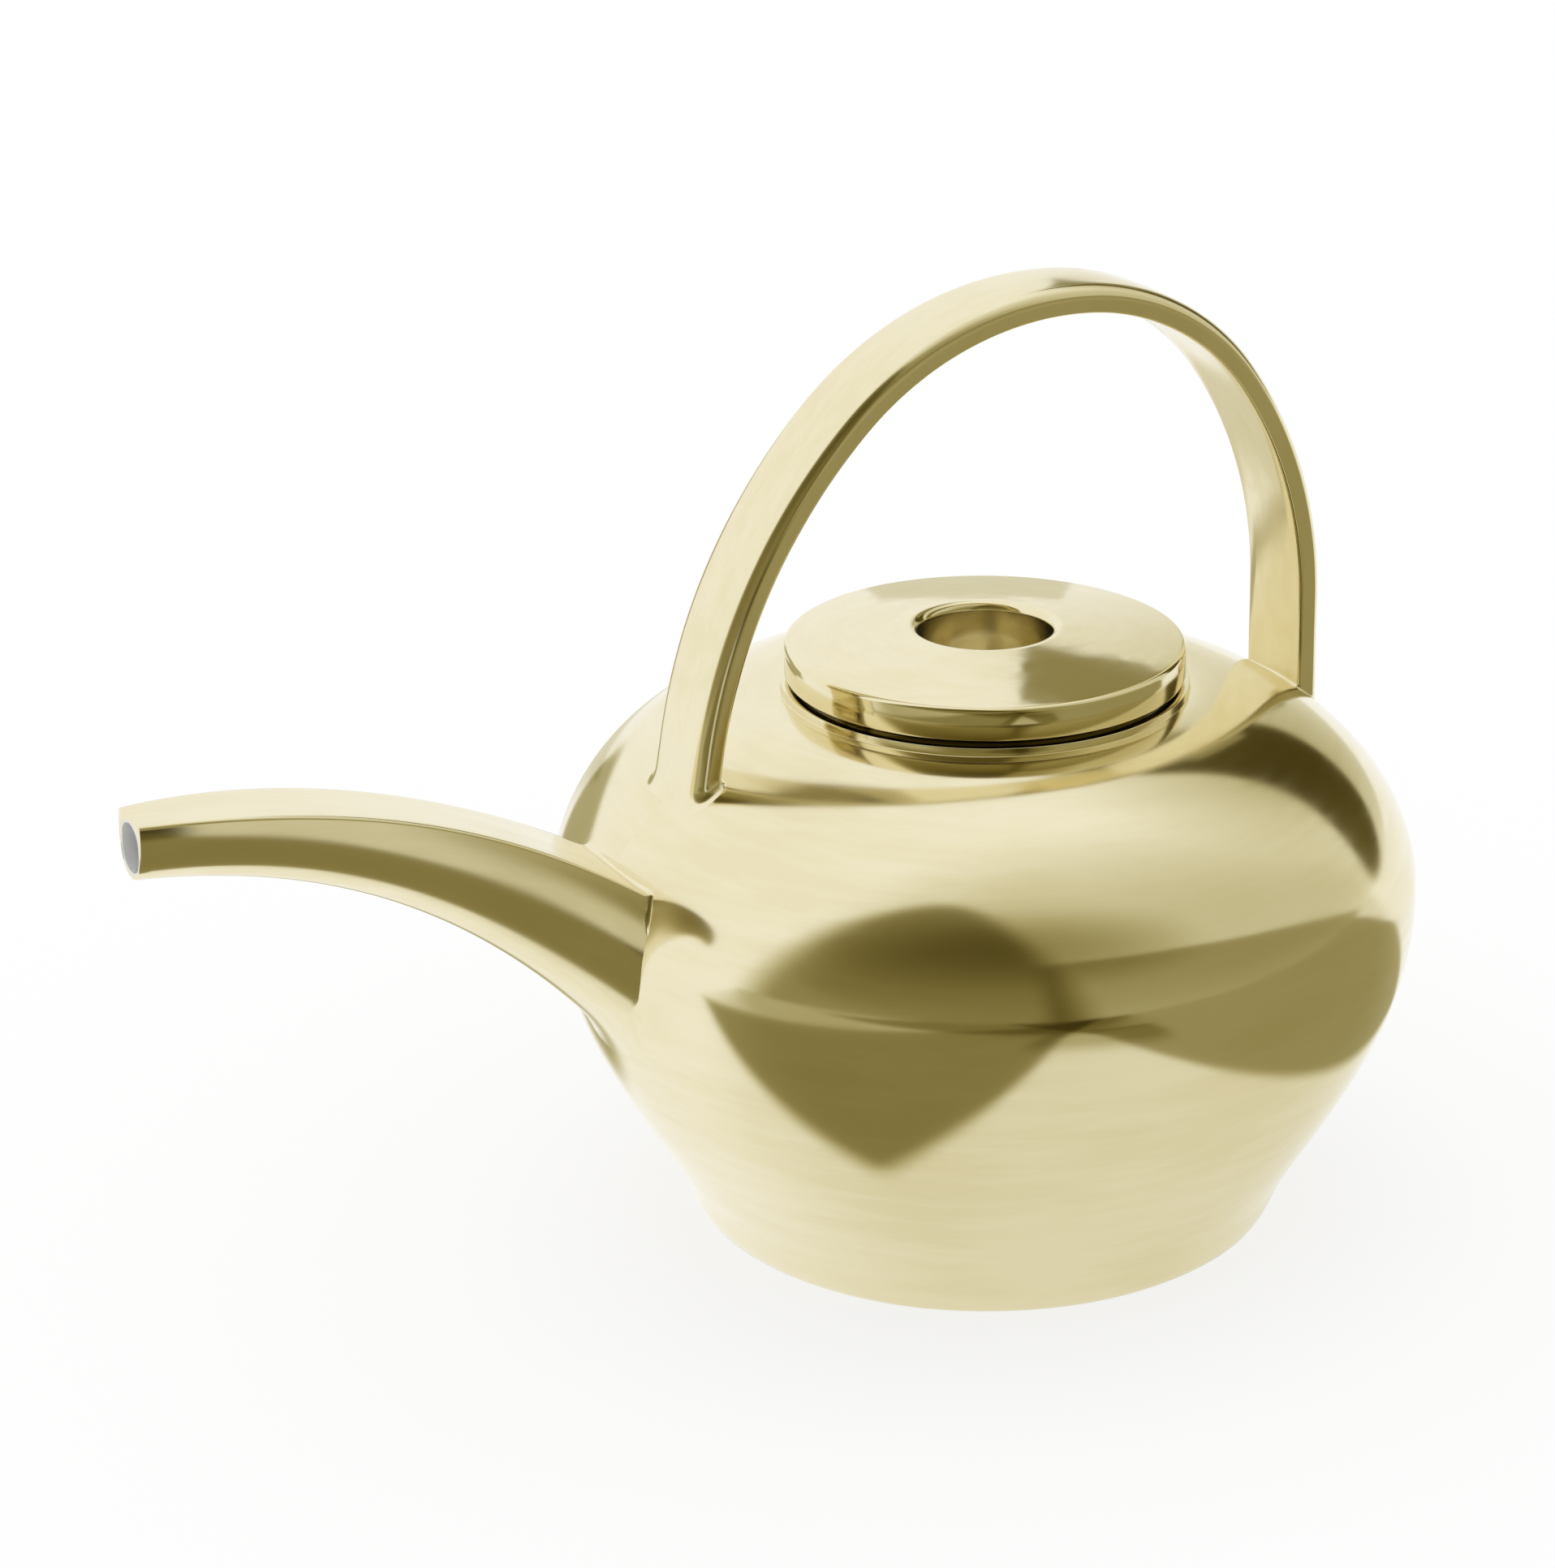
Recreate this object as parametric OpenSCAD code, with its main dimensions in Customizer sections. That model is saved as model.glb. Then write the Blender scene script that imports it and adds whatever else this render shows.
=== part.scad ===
// Lidded pouring pot with an overhead arch handle and a long curved spout.
// Millimetres. The origin is on the body's axis at table height. The spout
// points along -X, and the arch stands in the XZ plane.

/* [Body] */
// Radius of the body at the belt line
belt_r = 89; // [84:0.5:94]
// Height of the belt line
belt_z = 73.5; // [70:0.5:77]
// Radius of the waist, where the foot band meets the flank
waist_r = 64.3; // [60:0.1:68]
// Height at which the shoulder turns level round the mouth
shoulder_z = 110.2; // [107:0.1:114]
// Thickness of the wall, without the glaze inside
wall = 3.2; // [2.6:0.1:3.8]
// Thickness of the white glaze inside
glaze = 0.8; // [0.5:0.1:1.1]

/* [Foot] */
// Height of the foot band
foot_h = 8; // [7:0.5:9]
// Radius of the outer edge of the sole
sole_r = 60; // [57.5:0.1:61]
// Depth of the hollow under the base
recess_h = 5; // [4:0.25:5.5]
// Thickness of the floor above that hollow
floor_t = 4; // [3.5:0.1:5]

/* [Mouth] */
// Radius of the mouth
mouth_r = 38; // [35:0.1:38.5]
// Width of the raised ring round the mouth
mouth_ring_w = 4.9; // [4.4:0.1:6]
// Height of the raised ring
mouth_ring_h = 1.6; // [1.2:0.1:2.4]

/* [Lid] */
// Height of the lid's side
lid_side_h = 8; // [6.5:0.1:9]
// How far the lid's top climbs from its edge to the finger well
lid_rise = 3; // [2:0.1:4.5]
// Thickness of the lid
lid_t = 3.4; // [2.8:0.1:4]
// How far the lid's side stands in from the outside of the mouth ring
lid_inset = 1.7; // [1.4:0.1:2.4]
// Play between the lid's skirt and the mouth, on each side
lid_play = 0.6; // [0.3:0.1:1]
// Depth of the skirt below the rest plane of the lid
skirt_h = 9; // [6:0.5:11]
// Radius of the finger well
well_r = 13.7; // [12:0.1:15]
// Depth of the finger well below the top of the lid
well_depth = 17; // [13:0.5:20]

/* [Spout] */
// Distance from the axis to the mouth of the spout
spout_reach = 182.4; // [165:0.5:195]
// Height of the spout's top line at its mouth
spout_tip_z = 116; // [112:0.5:122]
// Height of the section at the mouth
spout_tip_h = 12.1; // [11:0.1:14]
// Width of the flat top at the mouth
spout_tip_w = 11.8; // [11:0.1:14]
// Height of the spout's top line where it leaves the body
spout_root_top = 86; // [84:0.5:89]
// Height of the spout's underside where it leaves the body
spout_root_low = 52; // [50:0.5:53]
// Width of the flat top where it leaves the body
spout_root_w = 30; // [28:0.5:32]
// Thickness of the spout's wall at the mouth
spout_tip_wall = 0.9; // [0.8:0.1:1.1]
// Thickness of the glaze at the mouth of the spout
spout_tip_glaze = 0.4; // [0.3:0.1:0.5]

/* [Strainer] */
// Radius of the pierced piece of wall
strainer_r = 13; // [12.5:0.1:14]
// Diameter of a strainer hole
strainer_hole_d = 3.4; // [2.6:0.1:3.6]
// Distance between neighbouring strainer holes
strainer_pitch = 4.9; // [4.6:0.1:5]

/* [Handle] */
// Width of the strap
strap_w = 20; // [17:0.5:22]
// Thickness of the strap
strap_t = 6; // [5:0.1:7.5]
// Radius of the strap's long outer edges
strap_outer_r = 2.6; // [1.6:0.1:2.8]
// Radius of the strap's long inner edges
strap_inner_r = 1; // [0.5:0.1:1.6]
// Distance from the axis to the middle of the upright rear leg
rear_leg_x = 74; // [71:0.5:77]
// Height at which the rear leg starts to bend
rear_leg_top = 119; // [115:0.5:124]
// Bend radius above the rear leg
rear_bend_r = 86; // [83:0.5:89]
// Angle of the bend above the rear leg
rear_bend_a = 36.5; // [35:0.5:38]
// Bend radius of the crown
crown_r = 53; // [50:0.5:56]
// Angle of the crown
crown_a = 48; // [46:0.5:50]
// Bend radius in front of the crown
brow_r = 68.5; // [65:0.5:72]
// Angle of the bend in front of the crown
brow_a = 50; // [48:0.5:52]
// Bend radius above the front leg
front_bend_r = 113; // [109:0.5:117]
// Angle of the bend above the front leg
front_bend_a = 36.5; // [35:0.5:38]

/* [Hidden] */
$fn = 96;
gold = [0.84, 0.74, 0.47];
white = [0.95, 0.95, 0.93];

// Body of revolution: the leans in degrees and the pulls in millimetres with
// which the flank and the shoulder leave their ends.
flank_steps = 20;
shoulder_steps = 24;
flank_lean = 27;
flank_pull = 19;
belt_overhang = 5;
belt_pull = 29;
shoulder_lean = 10;
shoulder_pull = 22.3;
rim_fall = 3;
rim_pull = 19;
rim_r = mouth_r + mouth_ring_w;

// Foot: the ring is rebated under the edge of the floor, and its side
// spreads a little above the sole.
rebate_w = 7.3;
rebate_r = waist_r - rebate_w;
sole_w = 5.5;
ring_bore_r = sole_r - sole_w;
foot_bevel = 0.8;
foot_spread = 1.6;
foot_pull = 3.6;

// Inside corner between the floor and the flank, which it joins at one of
// the flank's own points.
corner_steps = 8;
corner_from = 5;
corner_w = 20;
corner_level = 6;
corner_pull = 10;

// Lid: heights from the plane that it rests on.
rest_z = shoulder_z + mouth_ring_h;
lid_r = rim_r - lid_inset;
lid_edge_z = rest_z + lid_side_h;
lid_top_z = lid_edge_z + lid_rise;
lid_bevel = 0.8;
lid_round = 1.8;
skirt_r = mouth_r - lid_play;
skirt_t = 3;
skirt_bevel = 1;
skirt_sink = 2;
well_t = 2.6;
well_floor_t = 3;
well_round = 1.9;
well_foot_bevel = 1.5;
well_floor_bevel = 2;
round_steps = 6;

// Spout: rings along its length, and points round each half of a ring.
spout_rings = 20;
top_points = 5;
side_points = 11;
half_points = top_points + side_points;
spout_top_bend = [45.5, 29.6];
spout_low_bend = [39.5, 47.9];
spout_neck_w = 11;
spout_middle_w = 23;
seat_play = 0.1;
seat_rings = 5;

// Spout section, as shares of its half width or height: how far the side
// bulges, where the bulge sits, how full the underside is, and the arch of
// the bore. The second value of a pair is what the swollen root adds.
side_bulge = [1.12, 0.68];
bulge_drop = [0.5, -0.15];
underside = [0.85, 0.48];
bore_arch = 0.36;
swell_power = 3;
thinning_power = 1.5;

// Strainer: a window in the wall, centred on the spout's root, and a plug of
// wall cut from the same curves.
strainer_z = (spout_root_top + spout_root_low) / 2;
strainer_rows = 5;
window_depth = 30;
window_overrun = 1;
plug_from = 6;
plug_to = 14;

// Handle: headings are angles in the XZ plane, from +X towards +Z.
leg_sink = 30;
bend_steps = 10;
edge_steps = 4;
bends = [
    [rear_bend_r, rear_bend_a], [crown_r, crown_a], [brow_r, brow_a], [front_bend_r, front_bend_a]
];

function bezier(a, b, c, d, t) =
    pow(1 - t, 3) * a + 3 * pow(1 - t, 2) * t * b + 3 * (1 - t) * t * t * c + pow(t, 3) * d;
function curve(a, b, c, d, steps) = [for (i = [0:steps]) bezier(a, b, c, d, i / steps)];
function aim(angle) = [cos(angle), sin(angle)];
function reversed(list) = [for (i = [len(list) - 1:-1:0]) list[i]];
function slice(list, from, to) = [for (i = [from:to]) list[i]];

// Points of a curve moved sideways, to the left of its direction.
function moved_in(list, depth) = [
    for (i = [0:len(list) - 1])
        let (along = list[min(i + 1, len(list) - 1)] - list[max(i - 1, 0)])
        list[i] + depth * [-along[1], along[0]] / norm(along)
];

// Outside of the body as radius and height, from the waist to the belt
// line, and from the belt line to the mouth ring.
waist = [waist_r, foot_h];
belt = [belt_r, belt_z];
rim = [rim_r, shoulder_z];
flank = curve(
    waist, waist + flank_pull * aim(90 - flank_lean),
    belt - belt_pull * aim(90 + belt_overhang), belt, flank_steps
);
dome = curve(
    belt, belt + shoulder_pull * aim(90 + shoulder_lean),
    rim + rim_pull * aim(-rim_fall), rim, shoulder_steps
);

// The same outside, at some depth in the wall.
function floor_z(depth) = recess_h + floor_t + depth - wall;
function corner_at(depth) =
    let (top = moved_in(flank, depth)[corner_from], under = moved_in(flank, depth)[corner_from - 1])
    curve(
        [waist_r - corner_w, floor_z(depth)], [waist_r - corner_level, floor_z(depth)],
        top - corner_pull * (top - under) / norm(top - under), top, corner_steps
    );
function flank_at(depth) = concat(
    [[0, floor_z(depth)]], corner_at(depth),
    slice(moved_in(flank, depth), corner_from + 1, flank_steps - 1), [[belt_r - depth, belt_z]]
);
function dome_at(depth) = concat(
    [[belt_r - depth, belt_z]], slice(moved_in(dome, depth), 1, shoulder_steps - 1),
    [[rim_r, shoulder_z - depth], [mouth_r, shoulder_z - depth]]
);

// Radius of the body's outside at a height above the waist.
body_table = [for (p = concat(flank, slice(dome, 1, shoulder_steps))) [p[1], p[0]]];
function body_r(z) = lookup(z, body_table);

module turned(outline) {
    rotate_extrude() polygon(outline);
}

// The whole body as one filled solid, to seat what stands on it.
module body_core() {
    turned(concat([[0, foot_h]], flank, slice(dome, 1, shoulder_steps), [[0, shoulder_z]]));
}

// A round bar through the front wall, along X.
module front_bar(r, y, z) {
    translate([-belt_r - window_overrun, y, z]) rotate([0, 90, 0]) cylinder(h = window_depth, r = r);
}

module strainer_window() {
    front_bar(strainer_r, 0, strainer_z);
}

module foot_ring() {
    side = curve(
        [sole_r, 0], [sole_r + foot_spread, 0],
        waist - foot_pull * aim(90 - flank_lean), waist, round_steps
    );
    color(gold) turned(concat(
        [[ring_bore_r + foot_bevel, 0]], side,
        [[rebate_r, foot_h], [rebate_r, recess_h], [ring_bore_r, recess_h], [ring_bore_r, foot_bevel]]
    ));
}

module lower_bowl() {
    color(gold) difference() {
        turned(concat(
            [[0, recess_h], [rebate_r, recess_h], [rebate_r, foot_h]], flank, reversed(flank_at(wall))
        ));
        strainer_window();
    }
}

module shoulder() {
    color(gold) difference() {
        turned(concat(dome, [[mouth_r, shoulder_z]], reversed(dome_at(wall))));
        strainer_window();
    }
}

module mouth_ring() {
    edge_r = mouth_ring_h / 2;
    color(gold) rotate_extrude() {
        difference() {
            translate([mouth_r, shoulder_z]) square([mouth_ring_w, mouth_ring_h]);
            translate([rim_r - edge_r, rest_z - edge_r]) square(2 * edge_r);
        }
        translate([rim_r - edge_r, rest_z - edge_r]) circle(edge_r);
    }
}

module glaze_lining() {
    full = wall + glaze;
    outside = concat(flank_at(wall), slice(dome_at(wall), 1, shoulder_steps + 1));
    inside = concat(flank_at(full), slice(dome_at(full), 1, shoulder_steps + 1));
    color(white) difference() {
        turned(concat(outside, reversed(inside)));
        strainer_window();
    }
}

module strainer() {
    full = wall + glaze;
    middle = (strainer_rows - 1) / 2;
    outside = concat(slice(flank, plug_from, flank_steps), slice(dome, 1, plug_to));
    inside = concat(
        slice(moved_in(flank, full), plug_from, flank_steps - 1), [[belt_r - full, belt_z]],
        slice(moved_in(dome, full), 1, plug_to)
    );
    color(white) difference() {
        intersection() {
            turned(concat(outside, reversed(inside)));
            strainer_window();
        }
        for (row = [-middle:middle]) {
            count = strainer_rows - abs(row);
            for (i = [0:count - 1]) {
                front_bar(
                    strainer_hole_d / 2, (i - (count - 1) / 2) * strainer_pitch,
                    strainer_z + row * strainer_pitch * sin(60)
                );
            }
        }
    }
}

// Spout: the top line and the underside in the XZ plane, from the root to
// the mouth, with t from 0 to 1.
function bent(a, m, b, t) = pow(1 - t, 2) * a + 2 * t * (1 - t) * m + t * t * b;
function spout_top(t) =
    let (root = [-body_r(spout_root_top), spout_root_top])
    bent(root, root + [-spout_top_bend[0], spout_top_bend[1]], [-spout_reach, spout_tip_z], t);
function spout_low(t) =
    let (root = [-body_r(spout_root_low), spout_root_low])
    bent(
        root, root + [-spout_low_bend[0], spout_low_bend[1]],
        [-spout_reach, spout_tip_z - spout_tip_h], t
    );
function spout_half_w(t) = bezier(spout_root_w, spout_neck_w, spout_middle_w, spout_tip_w, t) / 2;

// Half of a section, as sideways distance and depth below the top line:
// across the top, then down the side and in to the middle of the underside.
// The sides swell near the root, and the bore at depth has a round top.
function spout_half(t, depth) =
    let (
        swell = pow(1 - t, swell_power), tall = norm(spout_top(t) - spout_low(t)),
        w = spout_half_w(t) - depth, h = tall - depth,
        drop = depth == 0 ? 0 : bore_arch * (tall - 2 * depth), start = depth + drop
    )
    concat(
        [for (i = [0:top_points - 1])
            let (a = 90 * i / top_points)
            depth == 0 ? [w * i / top_points, 0] : [w * sin(a), start - drop * cos(a)]],
        curve(
            [w, start], [w * side_bulge * [1, swell], start + (h - start) * bulge_drop * [1, swell]],
            [w * underside * [1, swell], h], [0, h], side_points
        )
    );
function spout_loop(t, depth) =
    let (half = spout_half(t, depth))
    concat(half, [for (i = [half_points - 1:-1:1]) [-half[i][0], half[i][1]]]);

// A section placed in space. The one at the root lies on the body.
function placed(t, loop) =
    let (top = spout_top(t), down = (spout_low(t) - top) / norm(spout_low(t) - top))
    [for (p = loop)
        let (z = top[1] + p[1] * down[1], seat_r = body_r(z) + seat_play)
        [t == 0 ? -sqrt(seat_r * seat_r - p[0] * p[0]) : top[0] + p[1] * down[0], p[0], z]];

// Thickness from the outside down to a surface, thinning towards the mouth.
function spout_depth(t, root, tip) = root + (tip - root) * (1 - pow(1 - t, thinning_power));

// Faces between two rings of points, each given by its first point's place.
function band(a, b, loop) = [
    for (j = [0:loop - 1])
        let (k = (j + 1) % loop)
        each [[a + j, b + k, a + k], [a + j, b + j, b + k]]
];

function turned_over(faces) = [for (face = faces) reversed(face)];

// One surface of the spout as rings, from the root to the mouth.
function spout_skin(root, tip) = [
    for (i = [0:spout_rings])
        let (t = i / spout_rings)
        placed(t, spout_loop(t, spout_depth(t, root, tip)))
];

// The face at the root as rings on the body, between two surfaces.
function spout_seat(root_a, root_b) =
    let (a = spout_loop(0, root_a), b = spout_loop(0, root_b))
    [for (i = [1:seat_rings - 1]) placed(0, b + (a - b) * i / seat_rings)];

// A tube between two surfaces, closed by a band at the mouth and by several
// at the root.
module spout_tube(root_a, tip_a, root_b, tip_b) {
    loop = 2 * half_points;
    outer = spout_skin(root_a, tip_a);
    inner = spout_skin(root_b, tip_b);
    seat = spout_seat(root_a, root_b);
    last = (len(outer) - 1) * loop;
    inside = len(outer) * loop;
    root = 2 * inside;
    end = root + (len(seat) - 1) * loop;
    polyhedron(
        [for (ring = concat(outer, inner, seat)) each ring],
        concat(
            [for (i = [0:loop:last - loop]) each band(i, i + loop, loop)],
            [for (i = [inside:loop:inside + last - loop]) each turned_over(band(i, i + loop, loop))],
            band(last, inside + last, loop), band(inside, root, loop),
            [for (i = [root:loop:end - loop]) each band(i, i + loop, loop)], band(end, 0, loop)
        )
    );
}

module spout() {
    color(gold) spout_tube(0, 0, wall, spout_tip_wall);
}

module spout_lining() {
    color(white) spout_tube(wall, spout_tip_wall, wall + glaze, spout_tip_wall + spout_tip_glaze);
}

// Handle: where each bend starts, and its heading there.
function heading(i) = i == 0 ? 90 : heading(i - 1) + bends[i - 1][1];
function bend_from(i) =
    i == 0 ? [rear_leg_x, rear_leg_top] :
    bend_from(i - 1) + bends[i - 1][0] * (aim(heading(i - 1) + 90) - aim(heading(i) + 90));

// The arch's middle line as points with headings, from foot to foot.
arch_line = concat(
    [[bend_from(0) - leg_sink * aim(90), 90]],
    [for (i = [0:3], k = [0:bend_steps - 1])
        let (from = heading(i), at = from + bends[i][1] * k / bend_steps)
        [bend_from(i) + bends[i][0] * (aim(from + 90) - aim(at + 90)), at]],
    [[bend_from(4), heading(4)], [bend_from(4) + leg_sink * aim(heading(4)), heading(4)]]
);

// The strap's section as distances out from the middle line and sideways.
strap_section = [
    for (corner = [0:3], i = [0:edge_steps])
        let (
            a = 90 * (corner + i / edge_steps),
            out = corner == 0 || corner == 3 ? 1 : -1, side = corner < 2 ? 1 : -1,
            r = out > 0 ? strap_outer_r : strap_inner_r
        )
        [out * (strap_t / 2 - r) + r * cos(a), side * (strap_w / 2 - r) + r * sin(a)]
];

module handle() {
    loop = len(strap_section);
    rows = len(arch_line);
    points = [
        for (at = arch_line, p = strap_section)
            [at[0][0] + p[0] * cos(at[1] - 90), p[1], at[0][1] + p[0] * sin(at[1] - 90)]
    ];
    sides = [for (i = [0:rows - 2]) each band(i * loop, (i + 1) * loop, loop)];
    ends = [[for (j = [0:loop - 1]) j], reversed([for (j = [0:loop - 1]) (rows - 1) * loop + j])];
    color(gold) difference() {
        polyhedron(points, concat(sides, ends));
        body_core();
    }
}

module lid_cap() {
    edge = [for (i = [0:round_steps]) [lid_r - lid_round, lid_edge_z - lid_round]
        + lid_round * aim(90 * i / round_steps)];
    lip = [for (i = [0:round_steps]) [well_r + well_round, lid_top_z - well_round]
        + well_round * aim(90 + 90 * i / round_steps)];
    under_z = lid_edge_z - lid_t;
    color(gold) turned(concat(
        [[skirt_r, rest_z], [lid_r - lid_bevel, rest_z], [lid_r, rest_z + lid_bevel]], edge, lip,
        [[well_r, lid_top_z - lid_t], [well_r + well_t, lid_top_z - lid_t], [skirt_r, under_z]]
    ));
}

module lid_well() {
    top = lid_top_z - lid_t;
    low = lid_top_z - well_depth;
    under = low - well_floor_t;
    out_r = well_r + well_t;
    color(gold) turned([
        [0, under], [out_r - well_foot_bevel, under], [out_r, under + well_foot_bevel],
        [out_r, top], [well_r, top],
        [well_r, low + well_floor_bevel], [well_r - well_floor_bevel, low], [0, low]
    ]);
}

module lid_skirt() {
    low = rest_z - skirt_h;
    top = rest_z + skirt_sink;
    color(white) turned([
        [skirt_r - skirt_t, low], [skirt_r - skirt_bevel, low],
        [skirt_r, low + skirt_bevel], [skirt_r, top], [skirt_r - skirt_t, top]
    ]);
}

foot_ring();
lower_bowl();
shoulder();
mouth_ring();
glaze_lining();
strainer();
spout();
spout_lining();
handle();
lid_cap();
lid_well();
lid_skirt();
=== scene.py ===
"""Dresses the lidded pouring pot: burnished gold over porcelain, with white glaze inside."""

import logging
import math
from dataclasses import dataclass, field
from enum import Enum
from typing import Callable, Iterable, Sequence

import bmesh
import bpy
import numpy as np
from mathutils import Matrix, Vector


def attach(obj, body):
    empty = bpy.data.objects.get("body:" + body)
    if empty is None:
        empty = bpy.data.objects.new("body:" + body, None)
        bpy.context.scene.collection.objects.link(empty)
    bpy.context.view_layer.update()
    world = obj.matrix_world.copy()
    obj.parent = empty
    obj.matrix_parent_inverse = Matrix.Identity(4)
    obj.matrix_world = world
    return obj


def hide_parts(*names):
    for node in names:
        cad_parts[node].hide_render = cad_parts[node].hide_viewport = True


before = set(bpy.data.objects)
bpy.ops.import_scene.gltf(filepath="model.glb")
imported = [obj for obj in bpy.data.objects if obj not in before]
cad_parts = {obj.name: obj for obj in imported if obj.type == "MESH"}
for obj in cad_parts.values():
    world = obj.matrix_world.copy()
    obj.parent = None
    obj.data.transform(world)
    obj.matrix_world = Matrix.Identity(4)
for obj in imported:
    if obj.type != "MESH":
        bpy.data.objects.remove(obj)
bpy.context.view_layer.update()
Piece = bpy.types.Object
Socket = bpy.types.NodeSocket
Tree = bpy.types.NodeTree
Node = bpy.types.Node
Material = bpy.types.Material
LOG = logging.getLogger("pot")
MM = 0.001
STATION = "station"
TURNED_CREASE = 32.0
SWEPT_CREASE = 38.0
FINE_TURNS = 192
EASE_SAMPLES = 9
EASE_FALL = 0.9
STROKE_LENGTH = 0.012


# ---------------------------------------------------------------- curves


def bezier(a: np.ndarray, b: np.ndarray, c: np.ndarray, d: np.ndarray, t: float) -> np.ndarray:
    """Gives the point at t on a cubic curve.

    Args:
        a: First point.
        b: First control point.
        c: Second control point.
        d: Last point.
        t: Share of the way, from 0 to 1.

    Returns:
        The point at t.
    """
    s = 1 - t
    return s**3 * a + 3 * s * s * t * b + 3 * s * t * t * c + t**3 * d


def curve(points: Sequence[np.ndarray], steps: int) -> np.ndarray:
    """Samples a cubic curve.

    Args:
        points: The two ends and the two controls between them, in order.
        steps: How many equal steps of the parameter.

    Returns:
        One row for each sample, both ends among them.
    """
    a, b, c, d = (np.asarray(p, float) for p in points)
    return np.array([bezier(a, b, c, d, i / steps) for i in range(steps + 1)])


def bend(a: np.ndarray, b: np.ndarray, c: np.ndarray, u: float) -> np.ndarray:
    """Gives the point at u on a quadratic curve from a to c that is drawn towards b."""
    return (1 - u) ** 2 * a + 2 * u * (1 - u) * b + u * u * c


def aim(angle: float) -> np.ndarray:
    """Gives the unit direction at an angle in degrees."""
    return np.array([math.cos(math.radians(angle)), math.sin(math.radians(angle))])


def arc(centre: Sequence[float], radius: float, start: float, end: float, steps: int) -> np.ndarray:
    """Samples an arc of a circle.

    Args:
        centre: The circle's centre.
        radius: The circle's radius.
        start: First angle in degrees.
        end: Last angle in degrees.
        steps: How many equal steps.

    Returns:
        One row for each sample, both ends among them.
    """
    turns = np.linspace(start, end, steps + 1)
    return np.array([np.asarray(centre, float) + radius * aim(a) for a in turns])


def eased(line: np.ndarray, reach: float, spacing: float) -> np.ndarray:
    """Rounds the corners of a line by averaging along it, with its ends kept.

    Args:
        line: Points of the line.
        reach: Half the length over which each point is averaged.
        spacing: Distance between the points of the result.

    Returns:
        The rounded line, evenly spaced.
    """
    run = np.concatenate([[0], np.cumsum(np.linalg.norm(np.diff(line, axis=0), axis=1))])
    count = max(2, int(run[-1] / spacing))
    places = np.linspace(0, run[-1], count + 1)
    shares = np.linspace(-1, 1, EASE_SAMPLES)
    weights = 1 - np.abs(shares) * EASE_FALL
    out = []
    for place in places:
        span = min(reach, place, run[-1] - place)
        taken = place + shares * span
        parts = (np.interp(taken, run, column) for column in line.T)
        out.append([np.average(part, weights=weights) for part in parts])
    return np.array(out)


def offset(line: np.ndarray, depth: float) -> np.ndarray:
    """Moves a line sideways, to the left of its direction.

    Args:
        line: Points of the line.
        depth: How far it moves.

    Returns:
        The moved line.
    """
    along = np.gradient(line, axis=0)
    along /= np.linalg.norm(along, axis=1)[:, None]
    return line + depth * np.stack([-along[:, 1], along[:, 0]], 1)


# ---------------------------------------------------------------- the workbench


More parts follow.
